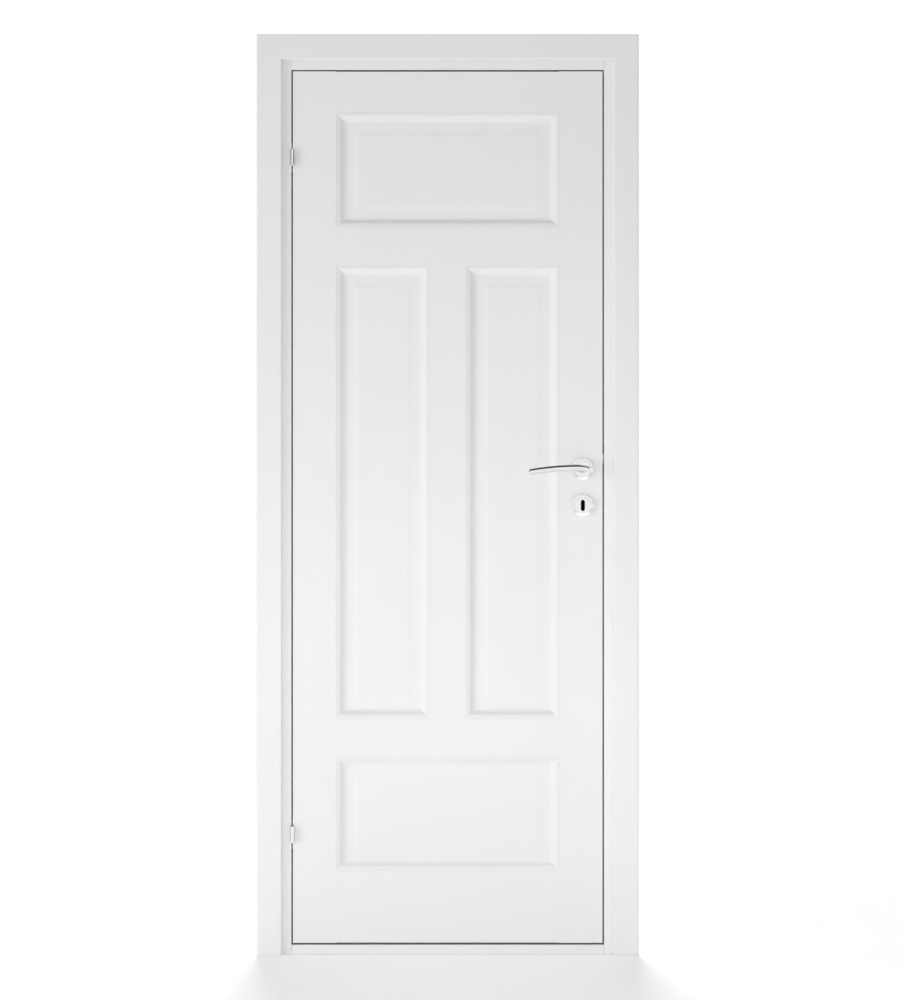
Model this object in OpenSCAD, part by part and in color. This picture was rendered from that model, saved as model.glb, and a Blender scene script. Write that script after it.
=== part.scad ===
// Interior door: a four-panel stile-and-rail leaf hung in its lining, with a
// threshold, front architraves, lift-off hinges, mortise lock and lever handles.
// Millimetres. +Z is up, the front faces -Y, +X is towards the lock edge.
// The origin is at floor level, at mid width and mid depth of the frame.

/* [Leaf] */
// Width of the leaf
leaf_w = 725; // [675:5:925]
// Height of the leaf
leaf_h = 2040; // [1940:10:2240]
// Thickness of the leaf
leaf_t = 40; // [39:0.5:44]
// Flat width of each stile
stile_w = 102; // [100:1:120]
// Flat height of the top rail
top_rail_h = 98; // [80:1:130]
// Flat height of the rail under the top panel
frieze_rail_h = 92; // [85:1:120]
// Flat height of the rail over the bottom panel
lower_rail_h = 90; // [85:1:120]
// Flat height of the bottom rail
bottom_rail_h = 170; // [140:1:220]
// Flat width of the muntin between the tall panels
muntin_w = 88; // [75:1:110]
// Height of the top panel's opening
top_panel_h = 266; // [200:1:320]
// Height of the bottom panel's opening
bottom_panel_h = 266; // [200:1:320]
// Set-back of the rails' outer edges from the ends of the stiles
rail_setback = 0.8; // [0.4:0.1:1.5]
// Rounding of the leaf's outer arrises
leaf_edge_r = 1.5; // [0.5:0.25:2.5]

/* [Moulding and panels] */
// Width of the moulded edge round each opening
sticking_w = 22; // [20:0.5:25]
// Width of the quirk where the moulding leaves the face
quirk_w = 2; // [1:0.25:3]
// Depth of the quirk
quirk_depth = 1.5; // [0.75:0.25:2.5]
// Drop of the moulding's crown below the face
crown_drop = 0.5; // [0.25:0.25:1]
// Radius of the moulding's crown, over its hollow foot
crown_r = 13; // [10:0.5:16]
// Depth of the panel's flat margin below the face
margin_depth = 11; // [9.5:0.25:12]
// Thickness of the moulding's lip over the panel
lip_t = 0.6; // [0.4:0.1:1.5]
// Depth of the panel groove
groove_depth = 12; // [9:0.5:13]
// Depth of the panel's raised field below the face
field_depth = 9; // [7:0.25:9.25]
// Distance from the opening's edge to the foot of the cove
cove_foot = 30; // [26:0.5:36]
// Distance from the opening's edge to the field's arris
field_inset = 50.5; // [45:0.5:60]
// Length of the rails' tenons
tenon_l = 60; // [40:1:75]
// Thickness of the tenons
tenon_t = 14; // [10:0.5:16]
// Shoulder above and below each tenon
tenon_shoulder = 16; // [10:1:22]
// Length of the muntin's tenons
muntin_tenon_l = 32; // [20:1:38]

/* [Frame] */
// Depth of the frame
frame_depth = 92; // [85:1:130]
// Thickness of the jambs and head at the rebate
jamb_t = 30; // [28:1:40]
// Projection of the door stop
stop_w = 12; // [10:0.5:18]
// Height of the threshold
sill_h = 22; // [18:1:30]
// Gap at each side of the leaf
side_gap = 3; // [2.5:0.25:4]
// Gap over the leaf
top_gap = 3; // [2.5:0.25:4]
// Gap under the leaf
bottom_gap = 4; // [3:0.25:8]
// Set-back of the leaf's face from the frame's face
leaf_recess = 1; // [0.5:0.25:2]
// Space for the seal between leaf and stop
seal_space = 4; // [3:0.25:6]
// Rounding of the frame's arrises
frame_edge_r = 2; // [1:0.25:3]
// Depth of the housings for head and threshold
housing_depth = 10; // [6:0.5:14]
// Diameter of the wall fixing holes
fixing_d = 14; // [8:0.5:16]
// Distance of the end fixings from the jamb's ends
fixing_end = 110; // [80:5:150]
// Spacing of the two inner fixings
fixing_inner = 720; // [500:10:900]

/* [Architrave] */
// Width of the architraves
architrave_w = 58; // [40:1:95]
// Thickness of the architraves
architrave_t = 12; // [10:0.5:15]
// Visible frame edge beside the architraves
reveal = 22; // [14:1:24]
// Rounding of the architraves' front arrises
architrave_r = 3; // [1:0.5:5]

/* [Hinges] */
// Distance of the upper hinge's centre from the leaf's top
upper_hinge_drop = 203; // [150:1:300]
// Height of the lower hinge's centre over the leaf's bottom
lower_hinge_rise = 255.5; // [180:0.5:320]
// Height of the hinge plates
plate_h = 70; // [60:1:90]
// Depth of the hinge plates
plate_d = 30; // [24:0.5:34]
// Thickness of the hinge plates
plate_t = 2.5; // [2:0.25:3]
// Diameter of the knuckles
knuckle_d = 10; // [9:0.5:12]
// Length of each knuckle
knuckle_l = 20.3; // [16:0.5:26]
// Diameter of the hinge pin
hinge_pin_d = 6; // [5:0.25:6.5]
// Air between the knuckles and the frame's face
knuckle_stand = 0.5; // [0.4:0.1:1.5]

/* [Lock] */
// Distance of the spindle from the leaf's edge
backset = 47; // [44:0.5:60]
// Height of the spindle over the leaf's bottom
spindle_rise = 1109; // [950:1:1150]
// Distance from spindle to keyhole
key_spacing = 85; // [80:1:105]
// Sheet thickness of the lock case
case_wall = 1.5; // [1:0.25:2]
// Thickness of the faceplate
faceplate_t = 3; // [2:0.25:4]
// Width of the faceplate
faceplate_w = 22; // [20:0.5:25]
// Height of the latch's head
latch_h = 22; // [16:0.5:24]
// Thickness of the latch's head
latch_t = 10; // [9:0.25:11]
// Reach of the latch beyond the leaf's edge
latch_throw = 11; // [9:0.25:11.5]
// Height of the deadbolt
bolt_h = 22; // [18:0.5:22]
// Thickness of the deadbolt
bolt_t = 8; // [6:0.25:10]
// Travel of the deadbolt
bolt_throw = 14; // [10:0.5:16]
// Thickness of the strike plate
strike_t = 2; // [1.5:0.25:3]
// Width of the keyhole
keyhole_w = 9.5; // [8:0.25:10]
// Height of the keyhole
keyhole_h = 26; // [22:0.5:27]

/* [Handles] */
// Side of the square spindle
spindle_s = 8; // [7:0.5:9]
// Distance from the spindle's axis to the lever's tip
lever_reach = 128; // [100:1:150]
// Distance from the leaf's face to the lever's centreline
lever_out = 47; // [42:0.5:58]
// Diameter of the lever's neck
neck_d = 17.5; // [17:0.25:21]
// Radius of the lever's elbow
elbow_r = 15; // [12:0.5:18]
// Swell of the elbow's outer corner
elbow_swell = 14; // [0:0.5:15]
// Height of the lever's arm at the elbow
arm_h = 17; // [15:0.5:20]
// Depth of the lever's arm at the elbow
arm_d = 11; // [8:0.5:14]
// Height of the lever's arm at the tip
tip_h = 14.5; // [12:0.5:18]
// Depth of the lever's arm at the tip
tip_d = 9; // [7:0.5:12]
// Radius of the arm's downward sweep
arm_sweep_r = 650; // [400:10:1500]
// Rise of the arm's centreline over the spindle's axis
arm_raise = 1.75; // [0:0.25:3]
// Slant of the lever's end
tip_slant = 0.5; // [0:0.25:4]
// Turn of the lever when it is pressed down, in degrees
lever_turn = 40; // [30:1:42]
// Diameter of the roses
rose_d = 50; // [49:0.5:55]
// Height of the roses
rose_h = 9; // [8:0.25:12]
// Width of the bevel round the roses
rose_bevel_w = 6; // [3:0.25:8]
// Drop of the bevel round the roses
rose_bevel_h = 2; // [1:0.25:4]
// Spacing of the two bolts of a rose
rose_bolt_spacing = 38; // [36:0.5:39]

/* [Hidden] */
$fn = 96;
// Overshoot of cuts through a face
over = 1;
// Clearance of joinery, recesses and fixed metal pieces
joint_gap = 0.1;
// Clearance of a screw in its hole
screw_gap = 0.05;
// Radial clearance of a turning fit
running_fit = 0.05;
// Clearance of a sliding fit
sliding_fit = 0.3;
// Clearance of a panel's tongue in its groove, each side
panel_gap = 0.15;
// Room for a panel to swell in its groove
swell_gap = 2;
// Room at the bottom of a mortise
mortise_end = 1;

// Places of the frame and leaf
leaf_x = leaf_w / 2;
rebate_x = leaf_x + side_gap;
frame_x = rebate_x + jamb_t;
stop_x = rebate_x - stop_w;
front_y = -frame_depth / 2;
back_y = frame_depth / 2;
leaf_front = front_y + leaf_recess;
leaf_back = leaf_front + leaf_t;
leaf_mid = leaf_front + leaf_t / 2;
stop_y = leaf_back + seal_space;
leaf_bottom = sill_h + bottom_gap;
leaf_top = leaf_bottom + leaf_h;
head_z = leaf_top + top_gap;
frame_top = head_z + jamb_t;
head_stop_z = head_z - stop_w;
rebate_mid = (front_y + stop_y) / 2;
stop_mid = (stop_y + back_y) / 2;

// Panel openings as [x0, x1, z0, z1]
open_x = leaf_x - stile_w;
bottom_z0 = leaf_bottom + bottom_rail_h;
bottom_z1 = bottom_z0 + bottom_panel_h;
mid_z0 = bottom_z1 + lower_rail_h;
top_z1 = leaf_top - top_rail_h;
top_z0 = top_z1 - top_panel_h;
mid_z1 = top_z0 - frieze_rail_h;
top_opening = [-open_x, open_x, top_z0, top_z1];
left_opening = [-open_x, -muntin_w / 2, mid_z0, mid_z1];
right_opening = [muntin_w / 2, open_x, mid_z0, mid_z1];
bottom_opening = [-open_x, open_x, bottom_z0, bottom_z1];

// Moulding and panel sections
tongue_t = leaf_t - 2 * margin_depth;
field_t = leaf_t - 2 * field_depth;
tongue_inset = sticking_w - groove_depth + swell_gap;
ogee_w = sticking_w - quirk_w;
ogee_end = margin_depth - panel_gap - lip_t;
ogee_turn = 2 * atan((ogee_end - crown_drop) / ogee_w);
hollow_r = ogee_w / sin(ogee_turn) - crown_r;
ogee_mid = quirk_w + crown_r * sin(ogee_turn);
cove_w = field_inset - cove_foot;
cove_h = margin_depth - field_depth;
cove_r = (cove_w * cove_w + cove_h * cove_h) / (2 * cove_h);

// Frame joinery and seal
housing_t = 12;
housing_edge = 10;
frame_screw_r = 2.5;
frame_screw_head_r = 5;
frame_screw_l = 85;
seal_stem_w = 3;
seal_stem_l = 7;
seal_flange_w = 8;
seal_flange_t = 1;
seal_wall = 0.7;
seal_bulb_r = (seal_space - sliding_fit) / 2;
seal_x = (rebate_x + stop_x) / 2;
seal_head_z = (head_z + head_stop_z) / 2;
fixing_z0 = fixing_end;
fixing_z1 = frame_top - fixing_end;
fixing_mid = (fixing_z0 + fixing_z1) / 2;
fixing_zs = [fixing_z0, fixing_mid - fixing_inner / 2, fixing_mid + fixing_inner / 2, fixing_z1];
sill_mid = sill_h / 2;
head_mid = head_z + jamb_t / 2;

// Architrave places
architrave_x = rebate_x + reveal;
architrave_z = head_z + reveal;
architrave_top = architrave_z + architrave_w;

// Hinge places
hinge_zs = [leaf_top - upper_hinge_drop, leaf_bottom + lower_hinge_rise];
knuckle_r = knuckle_d / 2;
hinge_x = -rebate_x - plate_t + knuckle_r;
hinge_y = front_y - knuckle_stand - knuckle_r;
knuckle_gap = 0.3;
knuckle_end_r = 2.5;
knuckle_cap = 3;
hinge_pin_chamfer = 0.8;
hinge_screw_r = 2;
hinge_screw_head_r = 4;
hinge_screw_l = 25;
hinge_screw_end = 10;
hinge_screw_edge = 9;
hinge_screw_z = plate_h / 2 - hinge_screw_end;
hinge_screw_y = plate_d - hinge_screw_edge;
plate_corner_r = 5;
recess_depth = 1.2;
recess_w = 0.9;
recess_share = 0.6;
fixed_fit = 0.02;
knuckle_bore_l = knuckle_l - knuckle_cap;

// Lock places
spindle_x = leaf_x - backset;
spindle_z = leaf_bottom + spindle_rise;
key_z = spindle_z - key_spacing;
spring_wire_r = 0.6;
spring_r = latch_t / 2 - spring_wire_r - sliding_fit;
spring_turns = 6;
spring_sides = 8;
spring_steps = 12;
spring_seat = 0.1;
tail_s = sqrt(2) * (spring_r - spring_wire_r - sliding_fit);
tail_clear = 2.6;
tail_end = 4;
tail_room = 3;
hub_r = 9.5;
journal_r = 8.5;
arm_w = 6;
arm_l = latch_throw / sin(lever_turn);
arm_t = 5;
arm_play = 0.6;
lug_l = 5;
lug_clear = 1;
lug_x = spindle_x - arm_w / 2 - arm_play;
latch_z = spindle_z + arm_l + arm_w / 2 + tail_clear + tail_s / 2;
latch_head_l = 29;
latch_back_x = leaf_x + latch_throw - latch_head_l;
latch_nose = 2;
latch_bevel_l = 9;
tail_back_x = lug_x - lug_l - tail_end;
guide_l = 3.5;
guide_wall = 1.6;
guide_clear = 1;
guide_x = spindle_x + arm_w / 2 + guide_clear;
bolt_clear = 1;
bolt_sink = 0.5;
bolt_z = key_z + keyhole_h / 2 + bolt_clear + bolt_h / 2;
bolt_top = bolt_z + bolt_h / 2;
bolt_front = leaf_x - bolt_sink;
bolt_tail = 11;
talon_w = 9;
talon_h = 5;
bolt_back = spindle_x - talon_w / 2 - bolt_tail;
post_r = 2.5;
post_inset = 32;
post_rise = 3;
post_x = bolt_front - post_inset;
post_z = bolt_z + post_rise;
detent_inset = 40;
detent_x = bolt_front - detent_inset;
detent_run = 16;
detent_half = 5;
detent_depth = 2;
detent_t = 0.8;
detent_w = 6;
detent_rise = 1.2;
detent_block = 6;
notch_half = 4;
case_t = latch_t + 2 * (sliding_fit + case_wall);
case_below = 40;
case_above = 9;
case_z0 = key_z - case_below;
case_z1 = latch_z + latch_h / 2 + case_above;
case_x1 = leaf_x - faceplate_t;
case_x0 = tail_back_x - latch_throw - tail_room - case_wall;
case_y0 = leaf_mid - case_t / 2;
case_y1 = leaf_mid + case_t / 2;
inner_t = case_t - 2 * case_wall;
pocket_gap = 0.3;
faceplate_margin = 16;
faceplate_z0 = case_z0 - faceplate_margin;
faceplate_z1 = case_z1 + faceplate_margin;
faceplate_mid = (faceplate_z0 + faceplate_z1) / 2;
lock_screw_inset = 8;
lock_screw_r = 1.8;
lock_screw_head_r = 3.6;
lock_screw_l = 22;
strike_screw_inset = 9;
strike_w = 24;
strike_below = 30;
strike_above = 34;
strike_z0 = bolt_z - bolt_h / 2 - strike_below;
strike_z1 = latch_z + latch_h / 2 + strike_above;
strike_room = 1.2;
pocket_end = 2;
lip_margin = 6;
lip_run = leaf_mid - strike_w / 2 - front_y - frame_edge_r;

// Handle places
neck_r = neck_d / 2;
neck_gap = 0.4;
neck_start = 2;
spindle_past_neck = 2;
spindle_reach = lever_out - elbow_r + spindle_past_neck;
rose_wall = 1.2;
rose_bevel_turn = atan2(rose_bevel_h, rose_bevel_w);
rose_r = rose_d / 2;
rose_flat_r = rose_r - rose_bevel_w;
rose_base_h = 5;
rose_base_r = rose_r - rose_wall - joint_gap;
rose_bolt_r = 2;
rose_bolt_head_r = 3.5;
rose_bolt_head_h = 2.2;
rose_bolt_floor = 1;
bolt_hole_gap = 0.5;
bore_room = 2;
stile_bore_r = journal_r + bore_room;
slot_room = 1;
grub_r = 2.5;
grub_out = 20;
grub_sink = 0.6;
grub_l = neck_r - spindle_s / 2 - grub_sink;
grub_socket = 2;
grub_key_r = 1.4;
arm_sides = 28;
elbow_steps = 9;
arm_steps = 12;
cap_steps = 4;
tip_round = 5;
slant_run = 0.25;
arm_lens = 0.8;
elbow_full = 0.6;

// Paint, metal and rubber colours
paint = "white";
zinc = "silver";
polished = "gainsboro";
steel = "darkgray";
seal_black = "dimgray";

// Waste that rounds a square corner at the origin, with the solid towards +X and +Y
module corner_waste(r) {
    difference() {
        translate([-over, -over]) square(r + over);
        translate([r, r]) circle(r);
    }
}

// Obround centred on the origin, with its long way along Y
module obround(w, h) {
    square([w, h - w], center = true);
    for (s = [-1, 1])
        translate([0, s * (h - w) / 2]) circle(w / 2);
}

// Countersunk screw along -Z, with its head's top at the origin
module screw_body(head_r, shank_r, length, gap = 0) {
    sink = head_r - shank_r;
    translate([0, 0, -sink]) cylinder(h = sink, r1 = shank_r + gap, r2 = head_r + gap);
    translate([0, 0, -length - gap]) cylinder(h = length + gap - sink / 2, r = shank_r + gap);
    if (gap > 0)
        cylinder(h = over, r = head_r + gap);
}

module screw(head_r, shank_r, length) {
    difference() {
        screw_body(head_r, shank_r, length);
        for (a = [0, 90])
            rotate([0, 0, a])
                cube([2 * head_r * recess_share, recess_w, 2 * recess_depth], center = true);
    }
}

// Turns a piece that points along -Z to point along -X, or along +X
module into_left() {
    rotate([0, 90, 0]) children();
}

module into_right() {
    rotate([0, -90, 0]) children();
}

// Extrudes a section drawn in Y and Z along +X
module along_x(length) {
    rotate([90, 0, 90]) linear_extrude(length) children();
}

module both_sides() {
    children();
    mirror([1, 0, 0]) children();
}

// Faces of a closed tube given as rings of points
function tube_faces(rings, sides) =
    let (last = len(rings) - 1)
    concat(
        [[for (j = [0:sides - 1]) j]],
        [for (i = [0:last - 1], j = [0:sides - 1])
            let (k = (j + 1) % sides)
            [i * sides + j, (i + 1) * sides + j, (i + 1) * sides + k, i * sides + k]],
        [[for (j = [sides - 1:-1:0]) last * sides + j]]
    );

function ring_points(rings) = [for (r = rings, p = r) p];

// Frame lining

// Section of the jamb at +X, in X and Y
module jamb_section() {
    difference() {
        union() {
            translate([rebate_x, front_y]) square([jamb_t, frame_depth]);
            translate([stop_x, stop_y]) square([stop_w + over, back_y - stop_y]);
        }
        translate([rebate_x, front_y]) corner_waste(frame_edge_r);
        translate([stop_x, stop_y]) corner_waste(frame_edge_r);
        translate([stop_x, back_y]) mirror([0, 1]) corner_waste(frame_edge_r);
        translate([seal_x - seal_stem_w / 2 - joint_gap, stop_y - over])
            square([seal_stem_w + 2 * joint_gap, seal_stem_l + over + joint_gap]);
    }
}

// Tongue at the +X end of the head or threshold, or with a gap its housing
module frame_tongue(z, gap = 0) {
    translate([rebate_x - over, front_y + housing_edge - gap, z - housing_t / 2 - gap])
        cube([over + housing_depth + gap, stop_y - front_y - 2 * (housing_edge - gap), housing_t + 2 * gap]);
}

// Places of the screws through the jamb at +X into threshold and head
module corner_screw_places() {
    for (z = [sill_mid, head_mid], y = [rebate_mid, stop_mid])
        translate([frame_x, y, z]) into_left() children();
}

module corner_screw_holes() {
    corner_screw_places() screw_body(frame_screw_head_r, frame_screw_r, frame_screw_l, screw_gap);
}

module jamb_blank() {
    difference() {
        linear_extrude(frame_top) jamb_section();
        frame_tongue(sill_mid, joint_gap);
        frame_tongue(head_mid, joint_gap);
        corner_screw_holes();
        for (z = fixing_zs)
            translate([rebate_x - over, rebate_mid, z])
                rotate([0, 90, 0]) cylinder(h = jamb_t + 2 * over, r = fixing_d / 2);
    }
}

module hinge_jamb() {
    color(paint) difference() {
        mirror([1, 0, 0]) jamb_blank();
        for (z = hinge_zs) {
            translate([-rebate_x - plate_t, front_y, z])
                along_x(plate_t + over) plate_outline(joint_gap, over);
            translate([-rebate_x, front_y, z]) hinge_screw_places() into_left()
                screw_body(hinge_screw_head_r, hinge_screw_r, hinge_screw_l, screw_gap);
        }
    }
}

module strike_jamb() {
    color(paint) difference() {
        jamb_blank();
        translate([rebate_x - over, leaf_mid, 0]) along_x(strike_t + over) strike_outline(joint_gap);
        translate([rebate_x, leaf_mid, 0]) {
            along_x(latch_throw + pocket_end) latch_window(strike_room);
            along_x(bolt_throw + pocket_end) bolt_window(strike_room);
        }
        strike_screw_places() screw_body(lock_screw_head_r, lock_screw_r, lock_screw_l, screw_gap);
    }
}

// Cuts a rounded arris or a groove along the head or threshold
module along_head() {
    translate([-rebate_x - over, 0, 0]) along_x(2 * (rebate_x + over)) children();
}

module head_jamb() {
    color(paint) difference() {
        union() {
            translate([-rebate_x, front_y, head_z]) cube([2 * rebate_x, stop_y - front_y, jamb_t]);
            translate([-stop_x, stop_y, head_stop_z]) cube([2 * stop_x, back_y - stop_y, jamb_t + stop_w]);
            both_sides() frame_tongue(head_mid);
        }
        along_head() translate([front_y, head_z]) corner_waste(frame_edge_r);
        along_head() translate([stop_y, head_stop_z]) corner_waste(frame_edge_r);
        along_head() translate([back_y, head_stop_z]) mirror([1, 0]) corner_waste(frame_edge_r);
        along_head() translate([stop_y - over, seal_head_z - seal_stem_w / 2 - joint_gap])
            square([seal_stem_l + over + joint_gap, seal_stem_w + 2 * joint_gap]);
        both_sides() corner_screw_holes();
    }
}

module threshold() {
    color(paint) difference() {
        union() {
            translate([-rebate_x, front_y, 0]) cube([2 * rebate_x, stop_y - front_y, sill_h]);
            translate([-stop_x, stop_y, 0]) cube([2 * stop_x, back_y - stop_y, sill_h]);
            both_sides() frame_tongue(sill_mid);
        }
        along_head() translate([front_y, sill_h]) mirror([0, 1]) corner_waste(frame_edge_r);
        along_head() translate([back_y, sill_h]) rotate(180) corner_waste(frame_edge_r);
        both_sides() corner_screw_holes();
    }
}

module frame_joint_screws() {
    color(zinc) both_sides() corner_screw_places() screw(frame_screw_head_r, frame_screw_r, frame_screw_l);
}

// Seal section, with its stem along +Y in the stop and its bulb towards the leaf
module seal_section() {
    difference() {
        union() {
            translate([-seal_stem_w / 2, -seal_flange_t]) square([seal_stem_w, seal_stem_l + seal_flange_t]);
            translate([-seal_flange_w / 2, -seal_flange_t]) square([seal_flange_w, seal_flange_t]);
            translate([0, -seal_bulb_r]) circle(seal_bulb_r);
        }
        translate([0, -seal_bulb_r]) circle(seal_bulb_r - seal_wall);
    }
}

module rebate_seal() {
    color(seal_black) {
        for (s = [-1, 1])
            translate([s * seal_x, stop_y, sill_h])
                linear_extrude(head_z - sill_h) seal_section();
        translate([-stop_x, stop_y, seal_head_z]) along_x(2 * stop_x) rotate(-90) seal_section();
    }
}

// Architrave section from its inner edge at the origin, lying on the frame's face
module architrave_section() {
    difference() {
        translate([0, -architrave_t]) square([architrave_w, architrave_t]);
        translate([0, -architrave_t]) corner_waste(architrave_r);
        translate([architrave_w, -architrave_t]) mirror([1, 0]) corner_waste(architrave_r);
    }
}

// Everything over the mitre line at +X
module over_mitre() {
    span = 2 * (architrave_x + architrave_w);
    translate([architrave_x, front_y, architrave_z])
        rotate([0, -45, 0]) translate([-span, -architrave_t - over, 0])
            cube([2 * span, architrave_t + 2 * over, span]);
}

module architrave_upright() {
    difference() {
        translate([architrave_x, front_y, 0]) linear_extrude(architrave_top) architrave_section();
        over_mitre();
    }
}

module architrave_left() {
    color(paint) mirror([1, 0, 0]) architrave_upright();
}

module architrave_right() {
    color(paint) architrave_upright();
}

module architrave_head() {
    reach = architrave_x + architrave_w;
    color(paint) intersection() {
        translate([-reach, front_y, architrave_z]) along_x(2 * reach) mirror([1, -1]) architrave_section();
        over_mitre();
        mirror([1, 0, 0]) over_mitre();
    }
}

// Lift-off hinges

// Hinge plate in Y and Z from its front edge, or with a gap and a lead its recess
module plate_outline(gap = 0, lead = 0) {
    difference() {
        translate([-lead, -plate_h / 2 - gap]) square([plate_d + lead + gap, plate_h + 2 * gap]);
        for (s = [0, 1])
            mirror([0, s]) translate([plate_d + gap, plate_h / 2 + gap])
                rotate(180) corner_waste(plate_corner_r);
    }
}

module hinge_screw_places() {
    for (z = [-hinge_screw_z, 0, hinge_screw_z])
        translate([0, hinge_screw_y, z]) children();
}

// Knuckle upwards from the origin, with its far end rounded
module knuckle() {
    rotate_extrude() difference() {
        square([knuckle_r, knuckle_l]);
        translate([knuckle_r, knuckle_l]) rotate(180) corner_waste(knuckle_end_r);
    }
}

// Hinge half with its knuckle above the middle: plate_x and plate_y place the plate's front corner
module hinge_half(plate_x, plate_y, bore_gap) {
    difference() {
        union() {
            translate([plate_x, plate_y, 0]) along_x(plate_t) plate_outline();
            translate([plate_x, hinge_y, knuckle_gap / 2])
                cube([plate_t, plate_y - hinge_y + over, knuckle_l - knuckle_end_r]);
            translate([hinge_x, hinge_y, knuckle_gap / 2]) knuckle();
        }
        translate([hinge_x, hinge_y, knuckle_gap / 2 - over])
            cylinder(h = knuckle_bore_l + over, r = hinge_pin_d / 2 + bore_gap);
    }
}

module hinge_frame_plate(z) {
    color(zinc) difference() {
        translate([0, 0, z]) mirror([0, 0, 1]) hinge_half(-rebate_x - plate_t, front_y, fixed_fit);
        translate([-rebate_x, front_y, z]) hinge_screw_places() into_left()
            screw_body(hinge_screw_head_r, hinge_screw_r, hinge_screw_l, screw_gap);
    }
}

module hinge_leaf_plate(z) {
    color(zinc) difference() {
        translate([0, 0, z]) hinge_half(-leaf_x, leaf_front, running_fit);
        translate([-leaf_x, leaf_front, z]) hinge_screw_places() into_right()
            screw_body(hinge_screw_head_r, hinge_screw_r, hinge_screw_l, screw_gap);
    }
}

module hinge_pin(z) {
    pin_r = hinge_pin_d / 2;
    lower = knuckle_gap / 2 + knuckle_bore_l;
    length = lower + knuckle_bore_l - knuckle_gap / 2;
    color(steel) translate([hinge_x, hinge_y, z - lower]) {
        cylinder(h = length - hinge_pin_chamfer, r = pin_r);
        translate([0, 0, length - hinge_pin_chamfer])
            cylinder(h = hinge_pin_chamfer, r1 = pin_r, r2 = pin_r - hinge_pin_chamfer);
    }
}

module hinge_frame_plate_upper() {
    hinge_frame_plate(hinge_zs[0]);
}

module hinge_frame_plate_lower() {
    hinge_frame_plate(hinge_zs[1]);
}

module hinge_leaf_plate_upper() {
    hinge_leaf_plate(hinge_zs[0]);
}

module hinge_leaf_plate_lower() {
    hinge_leaf_plate(hinge_zs[1]);
}

module hinge_pin_upper() {
    hinge_pin(hinge_zs[0]);
}

module hinge_pin_lower() {
    hinge_pin(hinge_zs[1]);
}

module frame_hinge_screws() {
    color(zinc) for (z = hinge_zs)
        translate([-rebate_x, front_y, z]) hinge_screw_places() into_left()
            screw(hinge_screw_head_r, hinge_screw_r, hinge_screw_l);
}

module leaf_hinge_screws() {
    color(zinc) for (z = hinge_zs)
        translate([-leaf_x, leaf_front, z]) hinge_screw_places() into_right()
            screw(hinge_screw_head_r, hinge_screw_r, hinge_screw_l);
}

// Strike plate

// Window for the latch or the bolt, in Y from mid leaf and Z
module latch_window(room) {
    translate([-latch_t / 2 - room, latch_z - latch_h / 2 - room])
        square([latch_t + 2 * room, latch_h + 2 * room]);
}

module bolt_window(room) {
    translate([-bolt_t / 2 - room, bolt_z - bolt_h / 2 - room])
        square([bolt_t + 2 * room, bolt_h + 2 * room]);
}

module strike_outline(gap = 0) {
    lip_half = latch_h / 2 + lip_margin + gap;
    translate([-strike_w / 2 - gap, strike_z0 - gap])
        square([strike_w + 2 * gap, strike_z1 - strike_z0 + 2 * gap]);
    translate([-strike_w / 2 - lip_run - gap, latch_z - lip_half])
        square([lip_run + gap + over, 2 * lip_half]);
}

module strike_screw_places() {
    for (z = [strike_z0 + strike_screw_inset, strike_z1 - strike_screw_inset])
        translate([rebate_x, leaf_mid, z]) into_right() children();
}

module strike_plate() {
    color(zinc) difference() {
        translate([rebate_x, leaf_mid, 0]) along_x(strike_t) difference() {
            strike_outline();
            latch_window(strike_room);
            bolt_window(strike_room);
        }
        strike_screw_places() screw_body(lock_screw_head_r, lock_screw_r, lock_screw_l, screw_gap);
    }
}

module strike_screws() {
    color(zinc) strike_screw_places() screw(lock_screw_head_r, lock_screw_r, lock_screw_l);
}

// Leaf joinery

// Waste over the moulding's hollow foot
module hollow_waste() {
    intersection() {
        translate([0, ogee_mid]) square([leaf_t, ogee_w]);
        translate([leaf_t / 2 - ogee_end + hollow_r, sticking_w]) {
            circle(hollow_r);
            translate([0, -hollow_r]) square([ogee_end + over, hollow_r + over]);
        }
    }
}

// Section of the moulded edge: X is the leaf's thickness, Y runs from the member into the opening
module sticking_section() {
    difference() {
        translate([-leaf_t / 2, 0]) square([leaf_t, sticking_w]);
        translate([-tongue_t / 2 - panel_gap, sticking_w - groove_depth])
            square([tongue_t + 2 * panel_gap, groove_depth + over]);
        for (s = [0, 1])
            mirror([s, 0]) {
                translate([leaf_t / 2 - quirk_depth, 0]) square([quirk_depth + over, quirk_w]);
                difference() {
                    translate([leaf_t / 2 - ogee_end, quirk_w]) square([ogee_end + over, ogee_mid - quirk_w]);
                    translate([leaf_t / 2 - crown_drop - crown_r, quirk_w]) circle(crown_r);
                }
                hollow_waste();
            }
    }
}

// Moulded edge along +X that grows to +Z, mitred at both ends
module sticking(length) {
    intersection() {
        along_x(length) sticking_section();
        rotate([90, 0, 0]) linear_extrude(leaf_t + 2 * over, center = true)
            polygon([[0, 0], [length, 0], [length - sticking_w, sticking_w], [sticking_w, sticking_w]]);
    }
}

// Moulded edges on the four sides of an opening
module sticking_below(o) {
    translate([o[0], leaf_mid, o[2]]) sticking(o[1] - o[0]);
}

module sticking_above(o) {
    translate([o[0], leaf_mid, o[3]]) mirror([0, 0, 1]) sticking(o[1] - o[0]);
}

module sticking_right(o) {
    translate([o[1], leaf_mid, o[2]]) rotate([0, -90, 0]) sticking(o[3] - o[2]);
}

module sticking_left(o) {
    translate([o[0], leaf_mid, o[2]]) mirror([1, 0, 0]) rotate([0, -90, 0]) sticking(o[3] - o[2]);
}

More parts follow.
